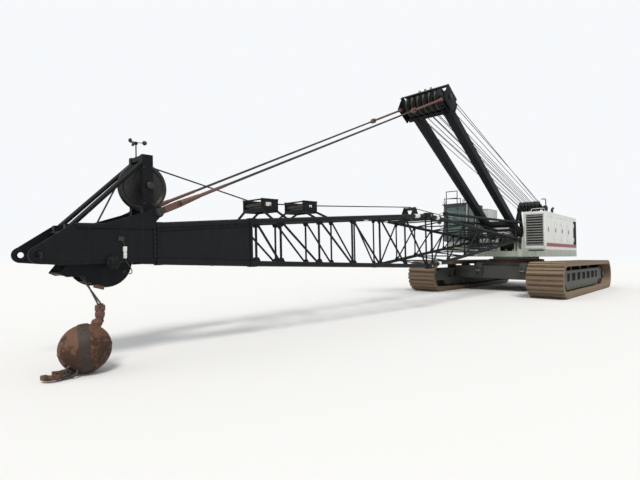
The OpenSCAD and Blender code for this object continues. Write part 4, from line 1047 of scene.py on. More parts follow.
def cab_fittings():
    """Gaskets, posts and frame bars of the cab."""
    gaskets = Shape()
    for z0, z1, slope in ((2.36, FRONT_KNEE, FRONT_SLOPES[0]), (FRONT_KNEE, 3.6, FRONT_SLOPES[1])):
        for y in (-1.955, -1.095):
            gaskets.block(at(cab_front_x((z0 + z1) / 2) - 0.022, y, (z0 + z1) / 2), (0.03, 0.018, z1 - z0),
                          pitch(math.atan(slope)), 0.003)
    for z in (2.369, 3.591):
        gaskets.block(at(cab_front_x(z) - 0.022, CAB_Y, z), (0.03, 0.86, 0.016), bevel=0.003)
    for x0, x1 in ((1.32, 1.98), (2.04, 2.72)):
        window_frame(gaskets, [at(x, CAB_LEFT, z) for x, z in rectangle(x1, 2.74, x0, 3.59)])
    window_frame(gaskets, [at(x, CAB_RIGHT, z) for x, z in rectangle(1.34, 2.8, 1.7, 3.56)])
    window_frame(gaskets, [at(CAB_REAR, y, z) for y, z in rectangle(-1.16, 2.9, -1.89, 3.54)])
    gaskets.make("cab_gaskets", "upper", "rubber")
    posts = Shape()
    posts.block(at(2.89, -0.995, 2.9), (0.05, 0.012, 1.56), pitch(-0.03), 0.004)
    posts.block(at(2.01, -0.996, 3.16), (0.045, 0.01, 0.9), bevel=0.003)
    posts.make("cab_side_posts", "upper", "white paint")
    bars = Shape()
    bars.block(at(cab_front_x(2.78) - 0.012, CAB_Y, 2.78), (0.03, 0.86, 0.045), bevel=0.006)
    for y in (-2.03, -1.02):
        bars.block(at(cab_front_x(3.1) - 0.002, y, 3.1), (0.014, 0.03, 0.98), pitch(FRONT_TURN), 0.004)
    bars.block(at(2.06, CAB_Y, 3.728), (1.76, 1.1, 0.016), bevel=0.005)
    bars.block(at(2.935, CAB_Y, 3.70), (0.13, 1.09, 0.02), bevel=0.006)
    for y in (-2.054, -0.996):
        bars.block(at(2.06, y, 3.665), (1.7, 0.008, 0.03), bevel=0.002)
        bars.block(at(2.06, y, 2.16), (1.68, 0.008, 0.03), bevel=0.002)
    bars.make("cab_frame_bars", "upper", "cab paint")


def cab_outer_fittings():
    """Rails, wiper, lamps and mirror of the cab."""
    rails = Shape()
    for y in (-1.99, -1.49):
        rails.rod(at(2.73, y, 3.735), at(2.73, y, 4.295), 0.017)
    for z in (3.987, 4.295):
        rails.rod(at(2.73, -2.007, z), at(2.73, -1.473, z), 0.017)
    rails.tube(bend(6, (2.72, -1.35, 3.735), (2.72, -1.35, 3.93), (2.74, -1.37, 3.95), (2.86, -1.98, 3.97),
                    (2.88, -2.0, 3.95), (2.88, -2.0, 3.735)), 0.015, 10)
    rails.tube(bend(5, (1.72, -2.06, 2.5), (1.74, -2.1, 2.5), (1.74, -2.1, 3.2), (1.72, -2.06, 3.2)), 0.011)
    rails.make("cab_rails", "upper", "iron paint and shade")
    feet = [(at(x, y, 3.742), UP) for x, y in ((2.73, -1.99), (2.73, -1.49), (2.88, -2.0), (2.72, -1.35))]
    repeat("cab_rail_feet", "upper", "round", (0.036, 0, 0.012), feet, "iron paint and shade")
    wiper = Shape()
    wiper.wheel(at(2.905, -1.78, 2.86), ((0, 0.022), (0.02, 0.022), (0.03, 0.012), (0.034, 0.004)), 20, AHEAD)
    wiper.rod(at(2.925, -1.78, 2.86), at(2.885, -1.42, 3.28), 0.007, 8)
    wiper.block(at(2.872, -1.42, 3.3), (0.012, 0.012, 0.5), pitch(FRONT_TURN), 0.003)
    wiper.make("cab_wiper", "upper", "black trim")
    lamps, lenses = Shape(), Shape()
    bowl = ((0, 0.02), (0.012, 0.05), (0.05, 0.062), (0.085, 0.064), (0.09, 0.058))
    lens = ((0, 0.056), (0.006, 0.05), (0.011, 0.03), (0.012, 0.004))
    for y in (-1.95, -1.1):
        lamps.rod(at(2.93, y, 3.71), at(2.93, y, 3.78), 0.010, 8)
        lamps.wheel(at(2.885, y, 3.83), bowl, 28, AHEAD)
        lenses.wheel(at(2.974, y, 3.83), lens, 28, AHEAD)
    lamps.make("cab_lamps", "upper", "black trim")
    lenses.make("cab_lamp_lenses", "upper", "clear lens")
    mirror = Shape()
    y = -2.055
    mirror.tube(bend(5, (2.80, y, 2.72), (2.9, y - 0.1, 2.74), (2.93, y - 0.16, 2.8), (2.93, y - 0.16, 3.3),
                     (2.9, y - 0.1, 3.36), (2.80, y, 3.38)), 0.009)
    mirror.block(at(2.935, y - 0.17, 3.06), (0.03, 0.17, 0.36), bevel=0.012)
    mirror.make("cab_mirror", "upper", "black trim")
    glass = Shape()
    glass.block(at(2.918, -2.225, 3.06), (0.004, 0.145, 0.33), bevel=0.0015)
    glass.make("cab_mirror_glass", "upper", "mirror")


def cab_door_fittings():
    """Handle, gasket and ribs of the cab door."""
    gasket = Shape()
    window_frame(gasket, [at(x, CAB_RIGHT, z) for x, z in rectangle(1.91, 2.72, 2.52, 3.50)])
    gasket.make("cab_door_gasket", "cab_door", "rubber")
    handle = Shape()
    handle.block(at(2.53, -2.056, 2.62), (0.05, 0.01, 0.12), bevel=0.003)
    grip = ((-2.06, 2.66), (-2.085, 2.66), (-2.085, 2.56), (-2.06, 2.56))
    handle.tube(bend(5, *((2.515, y, z) for y, z in grip)), 0.008)
    handle.make("cab_door_handle", "cab_door", "black trim")
    ribs = Shape()
    for z in (2.26, 2.56):
        ribs.block(at(2.2, -2.052, z), (0.62, 0.006, 0.016), bevel=0.002)
    ribs.make("cab_door_ribs", "cab_door", "cab paint")


def cushion(centre, size, crown):
    """A seat cushion with a swollen middle and an upright edge."""
    shape = Shape()
    n = 14

    def vertex(i, j, height):
        u, v = 2 * i / n - 1, 2 * j / n - 1
        soft = 1 - 0.06 * (abs(u) ** 4 * abs(v) ** 4) ** 0.5
        return shape.bm.verts.new(
            centre + Vector((u * size[0] / 2 * soft, v * size[1] / 2 * soft, height(u, v) * size[2] / 2)))

    def swell(u, v):
        edge = (1 - abs(u) ** 6) * (1 - abs(v) ** 6)
        return 0.55 + 0.45 * edge ** 0.5 + crown * (1 - u * u) * (1 - v * v)

    cells = [(i, j) for i in range(n + 1) for j in range(n + 1)]
    border = ([(i, 0) for i in range(n)] + [(n, j) for j in range(n)] + [(i, n) for i in range(n, 0, -1)]
              + [(0, j) for j in range(n, 0, -1)])
    under = {c: vertex(*c, lambda u, v: -swell(u, v)) for c in cells if c not in border}
    over = {c: vertex(*c, swell) for c in cells}
    under.update({c: vertex(*c, lambda u, v: -0.55) for c in cells if c in border})
    for grid, turn in ((over, ((0, 0), (1, 0), (1, 1), (0, 1))), (under, ((0, 0), (0, 1), (1, 1), (1, 0)))):
        for i, j in cells:
            if i < n and j < n:
                shape.bm.faces.new([grid[i + a, j + b] for a, b in turn])
    for a, b in zip(border, border[1:] + border[:1]):
        shape.bm.faces.new((under[a], under[b], over[b], over[a]))
    return shape


def seat_pieces():
    """Cushions, consoles, levers, pedals and panel inside the cab."""
    x, y, z = 1.83, CAB_Y, CAB_FLOOR
    seat = cushion(at(x, y, z + 0.445), (0.5, 0.5, 0.12), 0.12)
    seat.make("seat_cushion", "upper", "seat cloth", 60)
    back = cushion(Vector(), (0.68, 0.46, 0.11), 0.1)
    back.bm.transform(Matrix.Translation(at(1.595, y, z + 0.80)) @ pitch(math.radians(-82)).to_4x4())
    back.make("back_cushion", "upper", "seat cloth", 60)
    pod = Shape()
    pod.block(at(x - 0.02, y, z + 0.19), (0.34, 0.34, 0.37), bevel=0.02)
    pod.block(at(x - 0.22, y, z + 0.47), (0.05, 0.3, 0.14), bevel=0.01)
    for side in BOTH:
        pod.block(at(2.06, y + side * 0.35, z + 0.24), (0.86, 0.13, 0.48), bevel=0.02)
        pod.block(at(2.0, y + side * 0.35, z + 0.52), (0.6, 0.12, 0.05), bevel=0.02)
    pod.block(at(2.62, y - 0.32, z + 0.52), (0.07, 0.3, 0.22), pitch(math.radians(20)), 0.015)
    pod.block(at(2.64, y - 0.32, z + 0.25), (0.05, 0.06, 0.5), bevel=0.01)
    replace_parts(pod.make("seat_frame_and_consoles", "upper", "black trim"), "operator_seat")
    levers = Shape()
    knob = ((0, 0.010), (0.015, 0.021), (0.04, 0.024), (0.06, 0.018), (0.068, 0.005))
    for side in BOTH:
        for k in range(3):
            lx, ly = 2.1 + 0.09 * k, y + side * 0.35
            levers.rod(at(lx, ly, z + 0.54), at(lx + 0.01, ly, z + 0.70), 0.008, 8)
            levers.wheel(at(lx + 0.01, ly, z + 0.69), knob, 16, UP)
    for dy in (-0.14, 0.14):
        levers.rod(at(2.5, y + dy, z + 0.01), at(2.56, y + dy, z + 0.16), 0.010, 8)
        levers.block(at(2.575, y + dy, z + 0.18), (0.02, 0.1, 0.16), pitch(math.radians(25)), 0.006)
    levers.make("cab_levers", "upper", "black trim")


class CRANE_OT_cab(bpy.types.Operator):
    """Adds the cab's gaskets, rails, lamps, mirror, door fittings and seat."""
    bl_idname = "crane.cab"
    bl_label = "Cab"

    def execute(self, context):
        cab_fittings()
        cab_outer_fittings()
        cab_door_fittings()
        seat_pieces()
        return {"FINISHED"}


# Winches, boom hoist and hoist line


# body, ahead, up, radius of the barrel and radius of the rope
DRUMS = (("drum_front", 0.3, 2.13, 0.3, 0.013), ("drum_rear", -0.56, 2.13, 0.3, 0.013),
         ("drum_boom_hoist", -1.44, 2.08, 0.25, 0.011))
BEARING_CAP = ((0, 0.12), (0.012, 0.12), (0.03, 0.1), (0.034, 0.03))
WINCH_MOTOR = ((0, 0.15), (0.03, 0.15), (0.034, 0.13), (0.12, 0.125), (0.15, 0.1), (0.156, 0.04))


def drum_ropes():
    """Rope wound in two layers on every drum, and the bolts of the drum flanges."""
    for body, x, z, barrel, rope in DRUMS:
        count = int(0.82 / (2 * rope))
        for layer in range(2):
            places = [(at(x, -0.41 + rope * (2 * k + 1 + layer), z), LEFT) for k in range(count - layer)]
            sizes = (barrel + rope * (1 + 1.74 * layer), rope * 0.97, 0)
            repeat(f"{body}_rope_{layer}", body, "ring", sizes, places, "wound rope")
        bolts = [b for side in BOTH for b in bolt_circle(at, (x, z), side * 0.4545, 0.16, 12, sideways(side))]
        repeat(f"{body}_bolts", body, "hex", (0.014, 0, 0.009), bolts, "greased steel")


def drum_drives():
    """Winch motors and bearing caps outside the drum stands."""
    bolts = []
    for body, x, z, _, _ in DRUMS:
        for side, name, profile in ((-1, "motor", WINCH_MOTOR), (1, "cap", BEARING_CAP)):
            shape = Shape()
            shape.wheel(at(x, side * 0.502, z), profile, 36, sideways(side))
            shape.make(f"{body}_{name}", "upper", "green paint")
        bolts += bolt_circle(at, (x, z), -0.537, 0.137, 10, sideways(-1))
    repeat("winch_motor_bolts", "upper", "hex", (0.010, 0, 0.010), bolts, "bare steel")


ROPE_SIDES = 8
ROPE_SMOOTH = 60


def unwrap_tube(obj, length):
    """Gives a swept rope a UV map with U along it in metres and V round it."""
    layer = obj.data.uv_layers.new(name="along")
    rows = len(obj.data.vertices) // ROPE_SIDES
    for poly in obj.data.polygons:
        corners = [(li, obj.data.loops[li].vertex_index) for li in poly.loop_indices]
        ks = [v % ROPE_SIDES for _, v in corners]
        crosses = max(ks) - min(ks) > ROPE_SIDES / 2
        for (li, v), k in zip(corners, ks):
            around = k + (ROPE_SIDES if crosses and k == 0 else 0)
            layer.data[li].uv = (v // ROPE_SIDES / max(rows - 1, 1) * length, around / ROPE_SIDES)


def line_rope(name, body, points, radius):
    """A taut rope through points, with a UV map along it for its strands."""
    dense = [points[0]]
    for a, b in zip(points, points[1:]):
        dense += straight(a, b, 4)[1:]
    shape = Shape()
    shape.tube(dense, radius, ROPE_SIDES)
    obj = shape.make(name, body, "hoist rope", ROPE_SMOOTH)
    unwrap_tube(obj, path_length(dense))
    return obj


FALL_R = 0.011
FALL_ROWS = [i - 2.5 for i in range(6)]
BAIL_ROW, BAIL_WRAP = 0.16, 0.233
MAST_ROW, MAST_WRAP = 0.2, 0.313


def boom_hoist_ropes():
    """The falls of the boom hoist between bail and mast head, and the lead from its drum."""
    reach = math.hypot(MAST_HEAD[0] - GANTRY[0], MAST_HEAD[1] - GANTRY[1])
    end = (GANTRY[0] + BAIL_REACH * math.cos(BAIL_TURN), GANTRY[1] + BAIL_REACH * math.sin(BAIL_TURN))
    falls, outer, head, bail = Shape(), Shape(), Shape(), Shape()
    for row in FALL_ROWS:
        for half in BOTH:
            low = on_bail(BAIL_REACH, row * BAIL_ROW, half * BAIL_WRAP)
            high = on_bail(reach, row * MAST_ROW, half * MAST_WRAP)
            falls.tube(straight(low, high, 12), FALL_R)
        over = arc(MAST_WRAP, BAIL_DEG + 90, BAIL_DEG - 90, 20)
        head.tube(wrap(at, MAST_HEAD, row * MAST_ROW, over), FALL_R)
        under = arc(BAIL_WRAP, BAIL_DEG + 90, BAIL_DEG + 270, 16)
        bail.tube(wrap(at, end, row * BAIL_ROW, under), FALL_R)
    for side in (1, -1):
        low = on_bail(BAIL_REACH + 0.02, side * 0.47, 0.05)
        high = on_bail(reach - 0.05, side * 0.72, 0.16)
        outer.tube(straight(low, high, 12), 0.010)
    for name, shape in (("boom_hoist_falls", falls), ("boom_hoist_outer_lines", outer)):
        obj = shape.make(name, "bail", "hoist rope", ROPE_SMOOTH)
        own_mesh(obj)
    head.make("mast_head_rope_arcs", "mast", "hoist rope", ROPE_SMOOTH)
    bail.make("bail_rope_arcs", "bail", "hoist rope", ROPE_SMOOTH)
    lead = Shape()
    groove = ((0, 0.1), (0.001, 0.14), (0.018, 0.125), (0.032, 0.125), (0.049, 0.14), (0.05, 0.1))
    lead.wheel(at(GANTRY[0], -0.025, GANTRY[1]), groove, 32)
    lead.make("gantry_lead_sheave", "upper", "greased steel")
    ends = [at(-1.44 - 0.29, 0.1, 2.08 + 0.02), at(GANTRY[0] - 0.13, 0.0, GANTRY[1] - 0.03)]
    line_rope("boom_hoist_lead", "upper", ends, FALL_R)


# Sheaves of the boom head and guide boxes, each as (along the boom, above its axis)
DEFLECTOR = (15.19, 0.901)
DEFLECTOR_R = 0.375
POINT = (15.845, -0.26)
POINT_R = 0.3
POINT_Y = 0.14
GUARD_R = 0.34
GROOVE = 0.028
LINE_R = 0.013
GUIDE_BOXES = ((11.67, 0.757), (12.8, 0.73))


def hoist_line():
    """The hoist rope from the front drum over the boom to the point sheave."""
    start = at(0.3, 0.05, 2.13 + 0.3 + 0.036)
    knee = on_boom(0.55, 0.03, 0.47)
    hump = on_boom(7.1, 0, 0.96 + 0.045 + LINE_R)
    first = line_rope("hoist_line_foot", None, [start, knee, on_boom(1.4, 0.025, 0.54), hump], LINE_R)
    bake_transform(first)
    boxes = [on_boom(s + d, 0, h + 0.045 + LINE_R) for s, h in GUIDE_BOXES for d in (-0.14, 0.14)]
    over = wrap(on_boom, DEFLECTOR, 0, arc(DEFLECTOR_R - GROOVE + LINE_R, 96, 27, 14))
    round_point = POINT_R - GROOVE + LINE_R
    line_rope("hoist_line_top", "boom", [hump] + boxes + over, LINE_R)
    down = wrap(on_boom, POINT, 0, arc(round_point, 30, -42, 12))
    line_rope("hoist_line_front", "boom", [over[-1]] + down, LINE_R)
    back = wrap(on_boom, POINT, POINT_Y, arc(round_point, 140, -42, 24))
    line_rope("hoist_line_return", "boom", back, LINE_R)


class CRANE_OT_winches(bpy.types.Operator):
    """Winds rope on the drums and fits their caps and motors."""
    bl_idname = "crane.winches"
    bl_label = "Winches"

    def execute(self, context):
        drum_ropes()
        drum_drives()
        return {"FINISHED"}


class CRANE_OT_ropes(bpy.types.Operator):
    """Lays the ropes of the boom hoist and the hoist line."""
    bl_idname = "crane.ropes"
    bl_label = "Ropes"

    def execute(self, context):
        boom_hoist_ropes()
        hoist_line()
        return {"FINISHED"}


# Boom


STATIONS = (1.75, 2.42, 3.26, 4.2, 5.35, 6.5, 7.44, 7.76, 8.75, 9.8, 10.8, 11.83, 12.84, 13.41)
BAND_R = 0.0535


def boom_corner(s, side, top):
    """Centre of a chord at a station."""
    return on_boom(s, side * half_width(s), top * half_depth(s))


def boom_fittings():
    """Pins of the section joints, gussets at the lacing nodes and paint bands on the chords."""
    joints = [boom_corner(BASE_LEN, side, top) for side, top in CORNERS]
    repeat("section_pins", "boom", "round", (0.03, 0, 0.19), [(c, LEFT) for c in joints], "bare steel")
    washers = [(c + Vector((0, dy, 0)), LEFT) for c in joints for dy in (-0.07, 0.07)]
    repeat("section_pin_washers", "boom", "round", (0.05, 0, 0.014), washers, "greased steel")
    plates = Shape()
    for s in STATIONS:
        high, low = half_depth(s) - 0.035, half_depth(s) - 0.115
        for side, top in CORNERS:
            outline = [(s - 0.10, top * high), (s + 0.10, top * high),
                       (s + 0.055, top * low), (s - 0.055, top * low)]
            plates.slab(outline, side_view(on_boom, side * half_width(s)), 0.012)
    plates.make("boom_gussets", "boom", "boom paint and shade")
    bands = Shape()
    for s, half in ((8.2, 0.11), (7.12, 0.08)):
        for side in BOTH:
            bands.rod(boom_corner(s - half, side, 1), boom_corner(s + half, side, 1), BAND_R, 24)
    bands.rod(boom_corner(7.0, 1, -1), boom_corner(7.12, 1, -1), BAND_R, 24)
    bands.make("chord_paint_bands", "boom", "connector white")


def foot_roller():
    """The guide roller over the boom's foot, between two plates."""
    foot = Shape()
    foot.rod(on_boom(0.55, -0.8, 0.4), on_boom(0.55, 0.8, 0.4), 0.055, 28)
    for side in BOTH:
        plate = [(0.43, 0.05), (0.67, 0.05), (0.6, 0.47), (0.5, 0.47)]
        foot.slab(plate, side_view(on_boom, side * 0.86), 0.02)
        foot.rod(on_boom(0.55, side * 0.79, 0.4), on_boom(0.55, side * 0.87, 0.4), 0.02, 16)
    foot.make("foot_guide_roller", "boom", "boom paint and shade")


def guide_box_fittings():
    """Edge strips, bolts, blank plates and cross braces of the rope guide boxes."""
    strips, blanks = Shape(), Shape()
    bolts = []
    for s, h in reversed(GUIDE_BOXES):
        for side in BOTH:
            place = side_view(on_boom, side * 0.287)
            for dh in (-0.12, 0.12):
                strips.slab(rectangle(s - 0.21, h + dh - 0.012, s + 0.21, h + dh + 0.012), place, 0.010)
            for ds in (-0.2, 0.2):
                strips.slab(rectangle(s + ds - 0.012, h - 0.12, s + ds + 0.012, h + 0.12), place, 0.010)
            bolts += [(on_boom(s + ds, side * 0.293, h), sideways(side)) for ds in (-0.14, 0.0, 0.14)]
            bolts += [(on_boom(s + ds, side * 0.295, h + dh), sideways(side))
                      for ds in (-0.2, 0.2) for dh in (-0.12, 0.12)]
        for ds in (-0.195, 0.195):
            strips.rod(on_boom(s + ds, -0.27, h + 0.11), on_boom(s + ds, 0.27, h + 0.11), 0.016, 14)
    for outline in (rectangle(12.77, 0.79, 12.9, 0.715), rectangle(11.62, 0.80, 11.7, 0.75)):
        blanks.slab(outline, side_view(on_boom, 0.289), 0.006)
    strips.make("guide_box_strips", "boom", "boom paint and shade")
    repeat("guide_box_bolts", "boom", "hex", (0.016, 0, 0.014), bolts, "greased steel")
    blanks.make("guide_box_blank_plates", "boom", "connector white")


def panel_fittings():
    """Flange borders and bolts of the plated end of the boom."""
    shape = Shape()
    turn = math.atan2(0.18, 1.7)
    end = 15.185
    bolts = []
    for side in BOTH:
        def face(u, v, t):
            y = 0.606 + 0.012 / math.cos(turn) - (u - NECK_S) * math.tan(turn)
            return on_boom(u, side * (y + t), v)

        def proud(u, v, t):
            return face(u, v, t + 0.006)

        for v0, v1, wide in ((0.345, 0.24, -0.05), (-0.375, -0.27, 0.05)):
            shape.slab([(NECK_S, v0), (end, v1), (end, v1 + wide), (NECK_S, v0 + wide)], proud, 0.014)
        shape.slab(rectangle(NECK_S, -0.315, NECK_S + 0.05, 0.285), proud, 0.012)
        shape.slab(rectangle(end - 0.05, -0.215, end, 0.185), proud, 0.012)
        for k in range(12):
            u = 13.56 + k * 0.14
            drop = 0.105 * (u - NECK_S) / 1.7
            rows = (0.345 - drop - 0.025, -0.375 + drop + 0.025)
            bolts += [(face(u, v, 0.016), sideways(side)) for v in rows]
    shape.make("panel_borders", "boom", "iron paint and shade")
    repeat("panel_bolts", "boom", "hex", (0.010, 0, 0.008), bolts, "iron paint and shade")


SHAFT_END = ((0, 0.09), (0.03, 0.09), (0.036, 0.082), (0.037, 0.064), (0.08, 0.062), (0.086, 0.054),
             (0.088, 0.02))
DEFLECTOR_PIN = ((0, 0.055), (0.02, 0.055), (0.026, 0.048), (0.028, 0.01))
PENDANT_PIN = ((0, 0.052), (0.012, 0.052), (0.018, 0.04), (0.02, 0.01))
NOSE_TOP = (0.50, -0.02)
BEAK_LOW = [(0.515, -0.165), (0.588, -0.135)]
GUARD_Y = 0.255


def head_fittings():
    """Edge strips and tubes, shaft ends, eye rims and bolts of the boom head."""
    edges = Shape()
    low = [(HEAD_S, -0.27), (16.47, -0.27), (16.73, -0.24)]
    for side in BOTH:
        place = side_view(on_boom, side * 0.4545)
        for (u0, v0), (u1, v1) in zip(low, low[1:]):
            edges.slab([(u0, v0 + 0.002), (u1, v1 + 0.002), (u1, v1 + 0.036), (u0, v0 + 0.036)], place, 0.012)
        for u, wide in ((HEAD_S, 0.045), (16.14, 0.03)):
            edges.slab(rectangle(u, -0.23, u + wide, 0.215), place, 0.011)
        edges.rod(on_boom(15.203, side * 0.43, 0.248), on_boom(16.3, side * 0.43, 0.248), 0.042, 20)
    edges.make("head_edge_strips", "boom", "iron paint and shade")
    bosses = Shape()
    bolts = []
    for side in BOTH:
        bosses.wheel(on_boom(POINT[0], side * 0.4855, POINT[1]), SHAFT_END, 36, sideways(side))
        for k in range(2):
            bosses.hoop(on_boom(16.73, side * (0.452 - 0.034 * k), -0.13), LEFT, 0.07, 0.012, 40, 10)
        bolts += bolt_circle(on_boom, POINT, side * 0.526, 0.076, 6, sideways(side))
        bolts += [(on_boom(15.2225, side * 0.464, -0.19 + 0.072 * k), sideways(side)) for k in range(6)]
    bosses.make("head_bosses", "boom", "iron paint and shade")
    repeat("head_bolts", "boom", "hex", (0.010, 0, 0.010), bolts, "greased steel")


def guard_fittings():
    """Rim, beak, stays and wear block of the rope guard under the point sheaves."""
    rim = Shape()
    r = GUARD_R + 0.003
    for side in BOTH:
        edge = arc(r, -178, -28, 34) + BEAK_LOW + [NOSE_TOP]
        rim.tube(wrap(on_boom, POINT, side * GUARD_Y, edge), 0.013, 10)
        beak = [(0.29, -0.172)] + BEAK_LOW + [(0.50, -0.01), (0.29, -0.01)]
        rim.slab([(POINT[0] + u, POINT[1] + v) for u, v in beak], side_view(on_boom, side * GUARD_Y), 0.018)
    tip = BEAK_LOW + [(0.574, -0.118), (0.506, -0.145)]
    rim.slab([(POINT[0] + u, POINT[1] + v) for u, v in tip], side_view(on_boom), 0.5)
    for a in (-55, -125, -160):
        c = wrap(on_boom, POINT, 0, arc(r, a, a, 1))[0]
        rim.rod(c + Vector((0, -0.26, 0)), c + Vector((0, 0.26, 0)), 0.012)
    rim.make("sheave_guard_rim", "boom", "iron paint and shade")
    wear = Shape()
    wear.block(on_boom(POINT[0] + 0.11, GUARD_Y, POINT[1] - 0.342), (0.13, 0.07, 0.05),
               pitch(math.radians(-17)), 0.008)
    wear.make("guard_wear_block", "boom", "socket rust")


def strut_fittings():
    """Bolts and pin heads of the head strut, and the wind gauge on its top."""
    bolts = []
    pins = Shape()
    for side in BOTH:
        way = sideways(side)
        bolts += [(on_boom(s, side * 0.2435, h), way) for h in (0.45, 0.62, 1.18) for s in (15.15, 15.28)]
        bolts.append((on_boom(16.125, side * 0.298, 0.24), way))
        pins.wheel(on_boom(DEFLECTOR[0], side * 0.262, DEFLECTOR[1]), DEFLECTOR_PIN, 28, way)
        pins.wheel(on_boom(15.16, side * 0.5145, 0.48), PENDANT_PIN, 28, way)
    repeat("strut_bolts", "boom", "hex", (0.016, 0, 0.012), bolts, "greased steel")
    pins.make("pin_heads", "boom", "greased steel")
    cups = Shape()
    top = on_boom(HEAD_S, -0.2, 1.64)
    cup = ((-0.036, 0.006), (-0.028, 0.022), (-0.012, 0.035), (0, 0.038), (0.001, 0.036))
    for k in range(3):
        a = math.radians(30 + 120 * k)
        tip = top + Vector((0.13 * math.cos(a), 0.13 * math.sin(a), 0.012))
        cups.rod(top + Vector((0, 0, 0.012)), tip, 0.006, 8)
        cups.wheel(tip, cup, 20, (-math.sin(a), math.cos(a), 0))
    cups.make("wind_gauge_cups", "boom", "black trim")


def sheave_fittings():
    """Rim rings and hub bolts of the deflector and point sheaves."""
    bolts = [b for side in BOTH
             for b in bolt_circle(on_boom, DEFLECTOR, side * 0.062, 0.066, 8, sideways(side))]
    repeat("deflector_hub_bolts", "deflector_sheave", "hex", (0.008, 0, 0.008), bolts, "bare steel")
    for name, body, centre, ys, half, ring in (
            ("deflector_rim_rings", "deflector_sheave", DEFLECTOR, (0,), 0.048, DEFLECTOR_R - 0.018),
            ("point_rim_rings", "point_sheaves", POINT, (-POINT_Y, 0, POINT_Y), 0.042, POINT_R - 0.016)):
        rim = Shape()
        for y in ys:
            for side in BOTH:
                rim.hoop(on_boom(centre[0], y + side * half, centre[1]), LEFT, ring, 0.004, 64, 6)
        rim.make(name, body, "greased steel")


def limit_cord():
    """The short signal cord with its pale connector, hanging in a loop from the head's left side."""
    knots = [(15.72, 0.462, 0.06), (15.715, 0.474, 0.04), (15.69, 0.481, 0.0), (15.68, 0.483, -0.06),
             (15.68, 0.484, -0.18), (15.67, 0.484, -0.24), (15.625, 0.482, -0.31), (15.58, 0.465, -0.38),
             (15.56, 0.40, -0.43), (15.575, 0.32, -0.43), (15.60, 0.278, -0.41)]
    path = smooth_path([on_boom(*k) for k in knots], 6)
    shape = Shape()
    shape.tube(path, 0.0065, 10)
    loop = shape.make("limit_cord", "boom", "rubber", ROPE_SMOOTH)
    plug = Shape()
    for h, tall, wide in ((-0.075, 0.075, 0.05), (-0.165, 0.085, 0.044)):
        plug.block(on_boom(15.68, 0.4835, h), (wide, 0.034, tall), bevel=0.008)
    plug.block(on_boom(15.68, 0.4835, -0.118), (0.034, 0.028, 0.02), bevel=0.003)
    connector = plug.make("limit_cord_connector", "boom", "connector white")
    glands = Shape()
    glands.block(on_boom(15.72, 0.4595, 0.075), (0.08, 0.018, 0.06), bevel=0.004)
    glands.block(on_boom(15.605, 0.2725, -0.405), (0.05, 0.014, 0.04), bevel=0.003)
    glands.make("limit_cord_glands", "boom", "black trim")


# Mast, pendants and gantry


SHAFT_CAP = ((0, 0.08), (0.02, 0.08), (0.03, 0.06), (0.032, 0.02))
LEG_IN, LEG_OUT = 0.405, 0.655


def mast_fittings():
    """Bands, bolts and shaft caps of the mast, with the gantry's shaft caps."""
    bands = Shape()
    bolts = []
    for side in BOTH:
        way = sideways(side)
        for s in (0.75, 7.4):
            outline = rectangle(LEG_IN, -0.145, LEG_OUT, 0.145)
            bands.slab(outline, lambda u, v, t: on_mast(s + t, side * u, v), 0.016)
        bolts += bolt_circle(on_mast, (MAST_LEN, 0), side * 0.8225, 0.1, 8, way)
        bolts += [(on_mast(s, side * 0.8225, h), way) for s in (7.78, 7.9, 8.24) for h in (-0.22, 0.22)]
    bands.make("mast_bands", "mast", "iron paint and shade")
    repeat("mast_head_bolts", "mast", "hex", (0.016, 0, 0.012), bolts, "greased steel")
    for name, body, place, y in (("mast_shaft_caps", "mast", on_mast(MAST_LEN, 0, 0), 0.8405),
                                 ("gantry_shaft_caps", "upper", at(GANTRY[0], 0, GANTRY[1]), 0.6805)):
        caps = Shape()
        for side in BOTH:
            caps.wheel(place + Vector((0, side * y, 0)), SHAFT_CAP, 32, sideways(side))
        caps.make(name, body, "greased steel")


def mast_cover():
    """Rope cover over the mast's sheaves, with its hoops."""
    cover = Shape()
    section = arc(0.352, 12, 72, 12) + arc(0.366, 12, 72, 12)[::-1]
    cover.slab([(MAST_LEN + u, v) for u, v in section], side_view(on_mast), 1.556)
    for u, v in arc(0.36, 12, 72, 1):
        cover.rod(on_mast(MAST_LEN + u, -0.778, v), on_mast(MAST_LEN + u, 0.778, v), 0.012)
    a = math.radians(58)
    foot = (MAST_LEN + 0.362 * math.cos(a), 0.362 * math.sin(a))
    for y in (-0.2, 0.0, 0.2):
        cover.tube(wrap(on_mast, foot, y, arc(0.07, -32, 148, 14)), 0.014)
    cover.make("mast_head_rope_cover", "mast", "iron paint and shade")


def mast_frame():
    """The mast's legs, head plates, cross members and shafts, in place of its solid."""
    members = [member for side in BOTH for member in (
        (0.1, 7.7, side * LEG_IN, side * LEG_OUT, 0.14), (0.0, 0.2, side * LEG_IN, side * LEG_OUT, 0.09),
        (7.7, 8.36, side * 0.78, side * 0.82, 0.28), (7.7, 8.22, side * 0.64, side * 0.67, 0.2))]
    members += [(0.9, 1.1, -0.53, 0.53, 0.1), (7.58, 7.72, -0.82, 0.82, 0.14)]
    legs = Shape()
    turn = pitch(-MAST_RISE)
    for s0, s1, y0, y1, half in members:
        legs.block(on_mast((s0 + s1) / 2, (y0 + y1) / 2, 0), (s1 - s0, abs(y1 - y0), 2 * half), turn, 0.008)
    for side in BOTH:
        legs.rod(on_mast(0, side * 0.39, 0), on_mast(0, side * 0.67, 0), 0.11, 40)
    legs.rod(on_mast(MAST_LEN, -0.84, 0), on_mast(MAST_LEN, 0.84, 0), 0.055, 32)
    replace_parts(legs.make("mast_frame", "mast", "iron paint and shade"), "mast")


